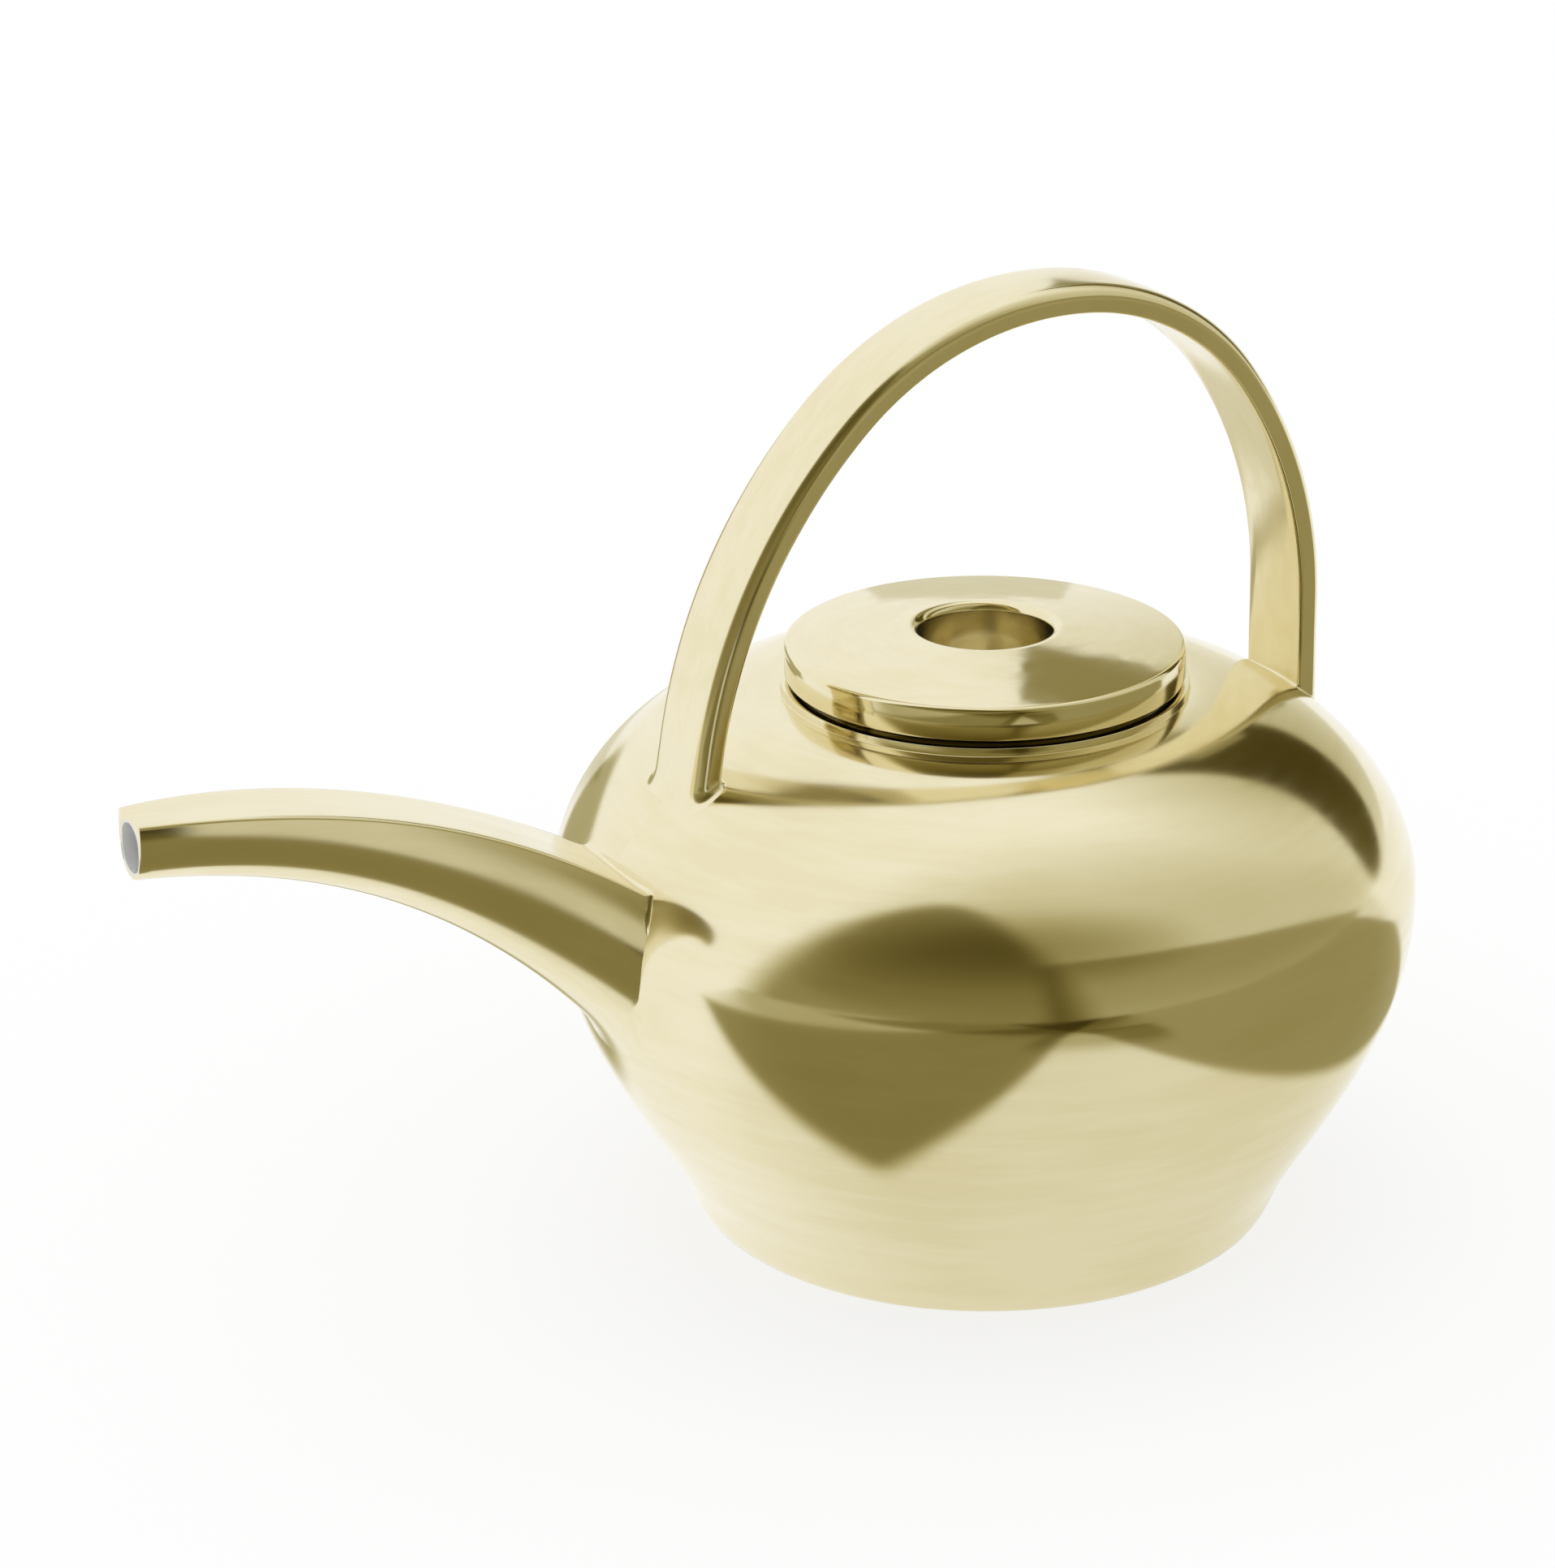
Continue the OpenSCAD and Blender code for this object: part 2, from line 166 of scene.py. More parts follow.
class Bench:
    """Works one mesh at a time with Blender's own edit tools, in millimetres."""

    def __init__(self, name: str) -> None:
        """Clears the selection and keeps the new piece's name.

        Args:
            name: The piece's name.
        """
        bpy.ops.object.select_all(action="DESELECT")
        self.name = name
        self.piece: Piece | None = None

    def take(self) -> Piece:
        """Names the primitive just added, and opens it in edit mode with all of it selected.

        Returns:
            The new object.
        """
        self.piece = bpy.context.object
        self.piece.name = self.name
        self.piece.data.name = self.name
        bpy.ops.object.mode_set(mode="EDIT")
        bpy.ops.mesh.select_all(action="SELECT")
        return self.piece

    def dot(self, place: Sequence[float]) -> None:
        """Starts from a small plane, merged to one point and moved to its place.

        Args:
            place: x, y and z.
        """
        bpy.ops.mesh.primitive_plane_add(size=2 * MM)
        self.take()
        bpy.ops.mesh.merge(type="CENTER")
        bpy.ops.transform.translate(value=Vector(place) * MM)

    def draw(self, outline: np.ndarray) -> None:
        """Draws an outline of radius and height in the XZ plane, one extruded point after another.

        Args:
            outline: Rows of radius and height.
        """
        self.dot((outline[0][0], 0, outline[0][1]))
        for step in np.diff(outline, axis=0):
            move = {"value": (step[0] * MM, 0, step[1] * MM)}
            bpy.ops.mesh.extrude_region_move(TRANSFORM_OT_translate=move)

    def turn(self, steps: int) -> None:
        """Spins what was drawn into a full solid of revolution round Z.

        Args:
            steps: Faces round the turn.
        """
        bpy.ops.mesh.select_all(action="SELECT")
        bpy.ops.mesh.spin(steps=steps, angle=math.tau, center=(0, 0, 0), axis=(0, 0, 1))

    def loop(self, count: int) -> None:
        """Starts from a circle whose points each remember their station round the loop.

        Args:
            count: Points in the loop.
        """
        bpy.ops.mesh.primitive_circle_add(vertices=count, radius=MM)
        piece = self.take()
        mesh = bmesh.from_edit_mesh(piece.data)
        layer = mesh.verts.layers.int.new(STATION)
        mesh.verts.ensure_lookup_table()
        for i, vert in enumerate(mesh.verts):
            vert[layer] = i
        bmesh.update_edit_mesh(piece.data)

    def place(self, ring: np.ndarray) -> None:
        """Moves the selected loop's points to their places.

        Args:
            ring: One row of x, y and z for each station.
        """
        mesh = bmesh.from_edit_mesh(self.piece.data)
        layer = mesh.verts.layers.int[STATION]
        for vert in mesh.verts:
            if vert.select:
                vert.co = Vector(ring[vert[layer]]) * MM
        bmesh.update_edit_mesh(self.piece.data)

    def follow(self, rings: Iterable[np.ndarray]) -> None:
        """Extrudes the selected loop once for each ring, and puts it in its place.

        Args:
            rings: Rows of x, y and z for each station, ring by ring.
        """
        for ring in rings:
            bpy.ops.mesh.extrude_region_move()
            self.place(ring)

    def close(self) -> None:
        """Fills the selected loop with one face."""
        bpy.ops.mesh.edge_face_add()

    def bridge(self) -> None:
        """Joins the two open ends of a tube."""
        bpy.ops.mesh.select_all(action="SELECT")
        bpy.ops.mesh.region_to_loop()
        bpy.ops.mesh.bridge_edge_loops()

    def done(self, sharp: float) -> Piece:
        """Merges doubles, turns the faces outward, leaves edit mode and shades the piece.

        Args:
            sharp: Angle in degrees above which an edge stays crisp.

        Returns:
            The finished object.
        """
        bpy.ops.mesh.select_all(action="SELECT")
        bpy.ops.mesh.remove_doubles(threshold=1e-6)
        bpy.ops.mesh.normals_make_consistent(inside=False)
        bpy.ops.object.mode_set(mode="OBJECT")
        bpy.ops.object.shade_smooth_by_angle(angle=math.radians(sharp))
        return self.piece


def turned(name: str, outline: np.ndarray, steps: int) -> Piece:
    """Turns a piece from its outline.

    Args:
        name: The piece's name.
        outline: Rows of radius and height.
        steps: Faces round the turn.

    Returns:
        The finished piece.
    """
    bench = Bench(name)
    bench.draw(outline)
    bench.turn(steps)
    return bench.done(TURNED_CREASE)


def chosen(piece: Piece, kind: str) -> bpy.types.Modifier:
    """Selects one piece alone and gives it a modifier.

    Args:
        piece: The piece.
        kind: The modifier's type.

    Returns:
        The modifier.
    """
    bpy.ops.object.select_all(action="DESELECT")
    bpy.context.view_layer.objects.active = piece
    piece.select_set(True)
    return piece.modifiers.new(kind.lower(), kind)


def bored(piece: Piece, bars: Piece, operation: str) -> Piece:
    """Cuts a piece with a tool and throws the tool away.

    Args:
        piece: The piece to cut.
        bars: The cutting tool.
        operation: DIFFERENCE or INTERSECT.

    Returns:
        The same piece.
    """
    hole = chosen(piece, "BOOLEAN")
    hole.operation = operation
    hole.solver = "EXACT"
    hole.object = bars
    bpy.ops.object.modifier_apply(modifier=hole.name)
    bpy.data.objects.remove(bars)
    return piece


def worked(piece: Piece, size: float, depth: float) -> Piece:
    """Gives a piece the faint unevenness of handwork, always inwards.

    Args:
        piece: The piece to work.
        size: Distance from one wave to the next.
        depth: Deepest place.

    Returns:
        The same piece.
    """
    waves = bpy.data.textures.new(piece.name + "_waves", "CLOUDS")
    waves.noise_scale = size * MM
    waves.noise_depth = 1
    sink = chosen(piece, "DISPLACE")
    sink.texture = waves
    sink.texture_coords = "LOCAL"
    sink.mid_level = 1.0
    sink.strength = depth * MM
    bpy.ops.object.modifier_apply(modifier=sink.name)
    return piece


# ---------------------------------------------------------------- the pieces


@dataclass
class Body:
    """The turned body: shell, mouth ring, glaze lining and strainer. Sizes in millimetres."""

    belt_r: float = 89.0
    belt_z: float = 73.5
    waist_r: float = 64.3
    shoulder_z: float = 110.2
    wall: float = 3.2
    glaze: float = 0.8
    foot_h: float = 8.0
    sole_r: float = 60.0
    sole_w: float = 5.5
    foot_spread: float = 1.6
    foot_pull: float = 3.6
    foot_bevel: float = 0.8
    under_rs: tuple[float, ...] = (0, 20, 40)
    recess_h: float = 5.0
    hollow_round: float = 1.5
    floor_t: float = 4.0
    floor_rs: tuple[float, ...] = (0, 15, 30)
    corner_h: float = 13.0
    corner_w: float = 20.0
    corner_level: float = 6.0
    corner_pull: float = 10.0
    mouth_r: float = 38.0
    ring_w: float = 4.9
    ring_h: float = 1.6
    ring_inset: float = 0.9
    ring_flare: float = 0.20
    ring_edge: float = 0.1
    ring_lip: float = 0.4
    ring_sink: float = 0.2
    ring_bed: float = 0.1
    flank_lean: float = 27.0
    flank_pull: float = 19.0
    belt_overhang: float = 5.0
    belt_pull: float = 29.0
    shoulder_lean: float = 10.0
    shoulder_pull: float = 22.3
    rim_fall: float = 3.0
    rim_pull: float = 19.0
    belt_ease: float = 1.6
    spacing: float = 1.2
    foot_steps: int = 24
    wall_steps: int = 80
    corner_steps: int = 20
    turns: int = 256
    wave: float = 34.0
    wave_depth: float = 0.16
    bar_length: float = 30.0
    bar_in: float = 10.0
    bar_sides: int = 48
    strainer_z: float = 69.0
    strainer_r: float = 13.0
    strainer_hole_r: float = 1.7
    strainer_pitch: float = 4.9
    strainer_rows: int = 5
    strainer_band: float = 20.0
    outline: np.ndarray = field(init=False)

    def __post_init__(self) -> None:
        """Draws the outside once, from the sole to the rim."""
        waist = np.array([self.waist_r, self.foot_h])
        belt = np.array([self.belt_r, self.belt_z])
        rim = np.array([self.rim_r, self.shoulder_z])
        lean = aim(90 - self.flank_lean)
        sole = np.array([self.sole_r, 0.0])
        foot = curve([sole, sole + [self.foot_spread, 0], waist - self.foot_pull * lean, waist],
                     self.foot_steps)
        flank_end = belt - self.belt_pull * aim(90 + self.belt_overhang)
        flank = curve([waist, waist + self.flank_pull * lean, flank_end, belt], self.wall_steps)
        dome_start = belt + self.shoulder_pull * aim(90 + self.shoulder_lean)
        dome_end = rim + self.rim_pull * aim(-self.rim_fall)
        dome = curve([belt, dome_start, dome_end, rim], self.wall_steps)
        line = np.vstack([foot, flank[1:], dome[1:]])
        self.outline = eased(line, self.belt_ease, self.spacing)

    @property
    def rim_r(self) -> float:
        """Outer radius of the mouth ring."""
        return self.mouth_r + self.ring_w

    @property
    def rest_z(self) -> float:
        """Height of the top of the mouth ring."""
        return self.shoulder_z + self.ring_h

    def nearest(self, point: np.ndarray) -> tuple[np.ndarray, np.ndarray, float]:
        """Finds the nearest place on the outside.

        Args:
            point: x, y and z.

        Returns:
            The place, the outward normal there, and the signed distance of the point from it.
        """
        r, turn = math.hypot(point[0], point[1]), math.atan2(point[1], point[0])
        spot = np.array([r, point[2]])
        a, b = self.outline[:-1], self.outline[1:]
        along = b - a
        share = np.clip(((spot - a) * along).sum(1) / (along**2).sum(1), 0, 1)
        feet = a + share[:, None] * along
        i = int(np.argmin(np.linalg.norm(feet - spot, axis=1)))
        tangents = np.gradient(self.outline, axis=0)
        way = tangents[i] * (1 - share[i]) + tangents[i + 1] * share[i]
        way /= np.linalg.norm(way)
        foot, out = feet[i], np.array([way[1], -way[0]])
        cos, sin = math.cos(turn), math.sin(turn)
        place = np.array([foot[0] * cos, foot[0] * sin, foot[1]])
        normal = np.array([out[0] * cos, out[0] * sin, out[1]])
        return place, normal, float((point - place) @ normal)

    def spread(
        self, loop: np.ndarray, reach: Callable[[int, np.ndarray], float]
    ) -> tuple[np.ndarray, np.ndarray, np.ndarray, np.ndarray]:
        """Spreads a loop that lies on the body outwards over it, for the foot of a fillet.

        Args:
            loop: One row of x, y and z for each station.
            reach: Gives how far a station moves, from its number and its way out.

        Returns:
            The way out, reach, new place and the body's normal there, a row for each station.
        """
        middle = loop.mean(0)
        around = np.roll(loop, -1, axis=0) - np.roll(loop, 1, axis=0)
        rows = []
        for j, mark in enumerate(loop):
            side = np.cross(around[j], self.nearest(mark)[1])
            side /= np.linalg.norm(side)
            if side @ (mark - middle) < 0:
                side = -side
            far = reach(j, side)
            place, out, _ = self.nearest(mark + side * far)
            rows.append((side, [far], place, out))
        return tuple(np.array(part) for part in zip(*rows))

    def inner(self, depth: float) -> np.ndarray:
        """Draws the inside at some depth in the wall, from the axis to the mouth.

        Args:
            depth: Distance in from the outside.

        Returns:
            Rows of radius and height.
        """
        line = offset(self.outline, depth)
        floor_z = self.recess_h + self.floor_t + depth - self.wall
        wall = line[(line[:, 1] > floor_z + self.corner_h) & (line[:, 0] > self.rim_r + 1)]
        way = (wall[1] - wall[0]) / np.linalg.norm(wall[1] - wall[0])
        corner = curve(
            [(self.waist_r - self.corner_w, floor_z), (self.waist_r - self.corner_level, floor_z),
             wall[0] - self.corner_pull * way, wall[0]], self.corner_steps
        )
        ends = [(self.rim_r, self.shoulder_z - depth), (self.mouth_r, self.shoulder_z - depth)]
        floor = [(r, floor_z) for r in self.floor_rs]
        return np.vstack([floor, corner, wall[1::2], ends])

    def front_bar(self, radius: float, y: float, z: float) -> Piece:
        """Adds a bar along X through the front wall, to cut with.

        Args:
            radius: The bar's radius.
            y: Its place from side to side.
            z: Its height.

        Returns:
            The bar.
        """
        bpy.ops.object.select_all(action="DESELECT")
        bpy.ops.mesh.primitive_cylinder_add(
            vertices=self.bar_sides, radius=radius * MM, depth=self.bar_length * MM,
            location=((self.bar_in - self.belt_r) * MM, y * MM, z * MM),
            rotation=(0, math.pi / 2, 0),
        )
        return bpy.context.object

    def window(self) -> Piece:
        """Adds the bar of the opening behind the spout."""
        return self.front_bar(self.strainer_r, 0, self.strainer_z)

    def shell(self) -> Piece:
        """Turns the outer shell with its foot and base, from the sole up to the mouth.

        Returns:
            The finished piece.
        """
        sole_in = self.sole_r - self.sole_w
        under = [(r, self.recess_h) for r in self.under_rs]
        fillet, bevel = self.hollow_round, self.foot_bevel
        hollow = arc((sole_in - fillet, self.recess_h - fillet), fillet, 90, 0, 5)
        bead = arc((sole_in + bevel, bevel), bevel, 180, 270, 4)
        mouth = [(self.mouth_r, self.shoulder_z)]
        outline = np.vstack([under, hollow, bead, self.outline, mouth, self.inner(self.wall)[::-1]])
        shell = bored(turned("body_shell", outline, self.turns), self.window(), "DIFFERENCE")
        return worked(shell, self.wave, self.wave_depth)

    def mouth_ring(self) -> Piece:
        """Turns the short ring round the mouth, flared into the shoulder and crisp at the top.

        Returns:
            The finished piece.
        """
        low, top = self.shoulder_z - self.ring_sink, self.rest_z
        wall_r = self.rim_r - self.ring_inset
        flare, edge, lip = self.ring_flare, self.ring_edge, self.ring_lip
        foot = (wall_r + flare, self.shoulder_z + flare - self.ring_bed)
        ends = [(self.mouth_r, low), (foot[0], low)]
        outline = np.vstack([
            ends, arc(foot, flare, 270, 180, 6), arc((wall_r - edge, top - edge), edge, 0, 90, 4),
            arc((self.mouth_r + lip, top - lip), lip, 90, 180, 4), ends[:1],
        ])
        return turned("mouth_ring", outline, self.turns)

    def lining(self) -> Piece:
        """Turns the white glaze inside the body.

        Returns:
            The finished piece.
        """
        outline = np.vstack([self.inner(self.wall), self.inner(self.wall + self.glaze)[::-1]])
        return bored(turned("body_glaze", outline, FINE_TURNS), self.window(), "DIFFERENCE")

    def strainer(self) -> Piece:
        """Cuts a plug of wall and pierces it.

        Returns:
            The finished piece.
        """
        inside = offset(self.outline, self.wall + self.glaze)
        rows = np.abs(self.outline[:, 1] - self.strainer_z) < self.strainer_band
        band = np.vstack([self.outline[rows], inside[rows][::-1], self.outline[rows][:1]])
        plate = bored(turned("strainer_plate", band, FINE_TURNS), self.window(), "INTERSECT")
        bars = []
        middle = (self.strainer_rows - 1) / 2
        for row in range(self.strainer_rows):
            count = self.strainer_rows - abs(row - middle)
            z = self.strainer_z + (row - middle) * self.strainer_pitch * math.sin(math.radians(60))
            for i in range(int(count)):
                y = (i - (count - 1) / 2) * self.strainer_pitch
                bars.append(self.front_bar(self.strainer_hole_r, y, z))
        for bar in bars:
            bar.select_set(True)
        bpy.context.view_layer.objects.active = bars[0]
        bpy.ops.object.join()
        return bored(plate, bars[0], "DIFFERENCE")


@dataclass
class Spout:
    """The curved spout and its glaze, lofted from the root to the mouth. Sizes in millimetres."""

    body: Body
    reach: float = 182.25
    tip_z: float = 116.0
    tip_h: float = 12.1
    root_top: float = 86.0
    root_low: float = 52.0
    tip_wall: float = 0.9
    tip_glaze: float = 0.4
    widths: tuple[float, ...] = (30.0, 11.0, 23.0, 11.8)
    top_bend: tuple[float, float] = (-45.5, 29.6)
    low_bend: tuple[float, float] = (-39.5, 47.9)
    rings: int = 72
    top_points: int = 8
    side_points: int = 24
    side_out: tuple[float, float] = (1.12, 0.50)
    side_down: tuple[float, float] = (0.5, -0.05)
    side_low: tuple[float, float] = (0.85, 0.30)
    edge_r: float = 0.7
    bore_drop: float = 0.36
    bore_rings: int = 41
    thinning: float = 1.5
    lip_swell: float = 0.12
    lip_shares: tuple[float, float] = (0.25, 0.75)
    glaze_gap: float = 0.01
    glaze_swell: float = 0.1
    join_sink: float = 0.2
    join_reach: tuple[float, float] = (1.0, 7.0)
    join_zone: float = 0.25
    join_marks: int = 60
    join_focus: int = 5
    join_rings: int = 9
    crowding: tuple[float, float] = (0.55, 0.45)
    bury: float = 1.0
    seat: float = 0.8

    def body_r(self, z: float) -> float:
        """Radius of the body's outside at a height."""
        line = self.body.outline
        return float(np.interp(z, line[:, 1], line[:, 0]))

    def top(self, t: float) -> np.ndarray:
        """Finds a point on the top line.

        Args:
            t: Share of the way from the root to the mouth.

        Returns:
            Its x and z.
        """
        root = np.array([-self.body_r(self.root_top), self.root_top])
        middle = root + self.top_bend
        return bend(root, middle, np.array([-self.reach, self.tip_z]), t)

    def low(self, t: float) -> np.ndarray:
        """Finds a point on the underside.

        Args:
            t: Share of the way from the root to the mouth.

        Returns:
            Its x and z.
        """
        root = np.array([-self.body_r(self.root_low), self.root_low])
        middle = root + self.low_bend
        return bend(root, middle, np.array([-self.reach, self.tip_z - self.tip_h]), t)

    def section(self, t: float, depth: float) -> np.ndarray:
        """Draws a section as sideways distance and depth below the top line.

        Args:
            t: Share of the way from the root to the mouth.
            depth: Distance in from the outside.

        Returns:
            A closed loop, from the middle of the top round and back.
        """
        tall = float(np.linalg.norm(self.top(t) - self.low(t)))
        swell = (1 - t) ** 3
        w = float(bezier(*(wide / 2 for wide in self.widths), t)) - depth
        h = tall - depth
        if depth:
            drop = self.bore_drop * (tall - 2 * depth)
            start = depth + drop
            turns = np.radians(np.linspace(0, 90, self.top_points + 5)[:-1])
            across = np.stack([w * np.sin(turns), start - drop * np.cos(turns)], 1)
        else:
            start = self.edge_r
            flat = [(x, 0.0) for x in np.linspace(0, w - start, self.top_points + 1)]
            across = np.vstack([flat, arc((w - start, start), start, -90, 0, 4)[1:-1]])
        out, down, low = (a + b * swell for a, b in (self.side_out, self.side_down, self.side_low))
        side = curve([(w, start), (w * out, start + (h - start) * down), (w * low, h), (0, h)],
                     self.side_points)
        half = np.vstack([across, side])
        return np.vstack([half, half[-2:0:-1] * [-1, 1]])

    def ring(self, t: float, depth: float) -> np.ndarray:
        """Places a section in space; the one at the root lies on the body.

        Args:
            t: Share of the way from the root to the mouth.
            depth: Distance in from the outside.

        Returns:
            One row of x, y and z for each point.
        """
        top, low = self.top(t), self.low(t)
        down = (low - top) / np.linalg.norm(low - top)
        out = []
        for y, drop in self.section(t, depth):
            z = top[1] + drop * down[1]
            x = top[0] + drop * down[0]
            if t <= 0:
                x = -math.sqrt(max(self.body_r(z) ** 2 - y * y, 1.0))
            out.append((x, y, z))
        return np.array(out)

    def tube(self, root: float, tip: float, ts: Iterable[float]) -> list[np.ndarray]:
        """Places the rings of a tube inside the spout.

        Args:
            root: Distance in from the outside at the root.
            tip: Distance in at the mouth.
            ts: The rings' shares of the way.

        Returns:
            One ring for each share.
        """
        return [self.ring(t, root + (tip - root) * (1 - (1 - t) ** self.thinning)) for t in ts]

    def flow(self) -> list[np.ndarray]:
        """Draws the outside from the body up to the mouth, the join's fillet first.

        Returns:
            Rings with a row of x, y and z for each station.
        """
        root = self.ring(0, 0)
        count = len(root)
        near, far = self.join_reach
        below = 0.5 - 0.5 * np.cos(math.tau * np.arange(count) / count)
        reach = near + far * below**self.join_focus
        marks = np.linspace(0, self.join_zone, self.join_marks + 1)
        lines = np.array([self.ring(t, 0) for t in marks])
        steps = np.cumsum(np.linalg.norm(np.diff(lines, axis=0), axis=2), axis=0)
        run = np.concatenate([np.zeros((1, count)), steps])
        start = np.array([np.interp(reach[j], run[:, j], marks) for j in range(count)])
        firsts = np.array([[np.interp(start[j], marks, lines[:, j, k]) for k in range(3)]
                           for j in range(count)])
        _, _, places, outs = self.body.spread(root, lambda j, side: reach[j])
        spread = places - outs * self.join_sink
        shares = np.linspace(0, 1, self.join_rings + 1)[:-1]
        rings = [bend(spread, root, firsts, u) for u in shares]
        even, late = self.crowding
        for i in range(self.rings + 1):
            share = i / self.rings
            share = share * (even + late * share)
            ts = [round(float(t + (1 - t) * share), 6) for t in start]
            stack = {t: self.ring(t, 0) for t in set(ts)}
            rings.append(np.array([stack[t][j] for j, t in enumerate(ts)]))
        return rings

    def shell(self) -> Piece:
        """Lofts the gold wall: outside, thin rim, and inside back to the body.

        Returns:
            The finished piece.
        """
        rings = self.flow()
        feet = [self.body.nearest(point) for point in rings[0]]
        bench = Bench("spout_shell")
        bench.loop(len(rings[0]))
        bench.place(np.array([place - normal * self.bury for place, normal, _ in feet]))
        bench.follow(rings)
        last, tip_in = rings[-1], self.ring(1, self.tip_wall)
        lip = [-self.lip_swell, 0, 0]
        bench.follow([last + (tip_in - last) * share + lip for share in self.lip_shares])
        shares = np.linspace(1, 0, self.bore_rings)
        bench.follow(self.tube(self.body.wall, self.tip_wall, shares))
        bench.follow([self.ring(0, self.body.wall) + [self.seat, 0, 0]])
        bench.bridge()
        return bench.done(SWEPT_CREASE)

    def lining(self) -> Piece:
        """Lofts the thin white glaze inside the spout.

        Returns:
            The finished piece.
        """
        shares = np.linspace(0, 1, self.bore_rings)
        gap = self.glaze_gap
        outer = self.tube(self.body.wall + gap, self.tip_wall + gap, shares)
        full, tip_full = self.body.wall + self.body.glaze, self.tip_wall + self.tip_glaze
        inner = self.tube(full, tip_full, shares[::-1])
        bench = Bench("spout_glaze")
        bench.loop(len(outer[0]))
        bench.place(outer[0])
        middle = (outer[-1] + inner[0]) / 2 - [self.glaze_swell, 0, 0]
        bench.follow([*outer[1:], middle, *inner])
        bench.bridge()
        return bench.done(SWEPT_CREASE)


@dataclass
class Arch:
    """The strap handle: tangent bends from foot to foot on the shoulder. Sizes in millimetres."""

    body: Body
    width: float = 20.0
    thick: float = 6.0
    outer_r: tuple[float, float] = (2.8, 3.2)
    inner_r: tuple[float, float] = (0.9, 0.9)
    crown: float = 0.45
    join_sink: float = 0.2
    leg_x: float = 74.0
    leg_top: float = 119.0
    bends: tuple[tuple[float, float], ...] = ((86, 36.5), (53, 48), (68.5, 50), (113, 36.5))
    outer_steps: int = 12
    inner_steps: int = 4
    flat_steps: int = 8
    path_step: float = 1.2
    search: float = 60.0
    halvings: int = 40
    leg_rings: int = 8
    flare_rings: int = 8
    flare_rise: float = 1.1
    rear_heading: float = 270.0
    rear_flare: float = 0.7
    front_flare: tuple[float, float] = (2.4, -0.8)
    wave: float = 20.0
    wave_depth: float = 0.08

    def section(self) -> np.ndarray:
        """Draws the strap's section, its outer side crowned.

        Returns:
            A loop of distances out from the middle line, and sideways.
        """
        half_t, half_w = self.thick / 2, self.width / 2
        rows = []
        for out, side, start in ((1, 1, 0), (-1, 1, 90), (-1, -1, 180), (1, -1, 270)):
            (deep, wide), steps = (
                (self.outer_r, self.outer_steps) if out > 0 else (self.inner_r, self.inner_steps)
            )
            centre = np.array([out * (half_t - deep), side * (half_w - wide)])
            rows.append(centre + arc((0, 0), 1.0, start, start + 90, steps) * [deep, wide])
        inner = np.linspace(rows[1][-1], rows[2][0], self.flat_steps + 1)[1:-1]
        outer = np.linspace(rows[3][-1], rows[0][0], self.flat_steps + 1)[1:-1]
        loop = np.vstack([rows[0], rows[1], inner, rows[2], rows[3], outer])
        across = loop[:, 1] / half_w
        loop[:, 0] -= np.where(loop[:, 0] > 0, self.crown * across**2, 0)
        return loop

    def path(self) -> list[tuple[np.ndarray, float]]:
        """Walks the middle line from the rear leg to the front one.

        Returns:
            Places as x and z, with their headings in degrees.
        """
        at, heading = np.array([self.leg_x, self.leg_top]), 90.0
        out = []
        for r, angle in self.bends:
            steps = int(angle / self.path_step)
            centre = at + r * aim(heading + 90)
            for k in range(steps):
                turned = heading + angle * k / steps
                out.append((centre - r * aim(turned + 90), turned))
            heading += angle
            at = centre - r * aim(heading + 90)
        out.append((at, heading))
        return out

    def placed(self, at: np.ndarray, heading: float, section: np.ndarray) -> np.ndarray:
        """Places the section at a point of the middle line."""
        out = aim(heading - 90)
        return np.array([(at[0] + p[0] * out[0], p[1], at[1] + p[0] * out[1]) for p in section])

    def foot(
        self, last: np.ndarray, heading: float, reach: Callable[[int, np.ndarray], float]
    ) -> list[np.ndarray]:
        """Carries a leg's end down to the shoulder and flares it.

        Args:
            last: The ring where the leg turns straight.
            heading: Direction of the leg's descent, in degrees.
            reach: Gives the flare's spread for a station and its way out.

        Returns:
            Rings from the straight leg to the shoulder, and one below its surface.
        """
        down = np.array([aim(heading)[0], 0, aim(heading)[1]])
        marks = []
        for p in last:
            low, high = 0.0, self.search
            for _ in range(self.halvings):
                middle = (low + high) / 2
                if self.body.nearest(p + down * middle)[2] > 0:
                    low = middle
                else:
                    high = middle
            marks.append(p + down * low)
        marks = np.array(marks)
        sides, reaches, places, outs = self.body.spread(marks, reach)
        starts = marks - down * reaches * self.flare_rise
        spread = places - outs * self.join_sink
        sunk = places - outs - sides * reaches
        count = self.leg_rings
        run = [last + (starts - last) * k / count for k in range(1, count)]
        shares = np.linspace(0, 1, self.flare_rings + 1)
        turn = [bend(starts, marks, spread, u) for u in shares]
        return [*run, *turn, sunk]

    def build(self) -> Piece:
        """Sweeps the strap from foot to foot.

        Returns:
            The finished piece.
        """
        section = self.section()
        path = self.path()
        rings = [self.placed(at, heading, section) for at, heading in path]
        rear = self.foot(rings[0], self.rear_heading, lambda j, side: self.rear_flare)
        even, lean = self.front_flare
        front = self.foot(rings[-1], path[-1][1], lambda j, side: even + lean * float(side[0]))
        bench = Bench("arch_handle")
        bench.loop(len(section))
        bench.place(rear[-1])
        bench.close()
        bench.follow([*rear[-2::-1], *rings, *front])
        bench.close()
        return worked(bench.done(SWEPT_CREASE), self.wave, self.wave_depth)


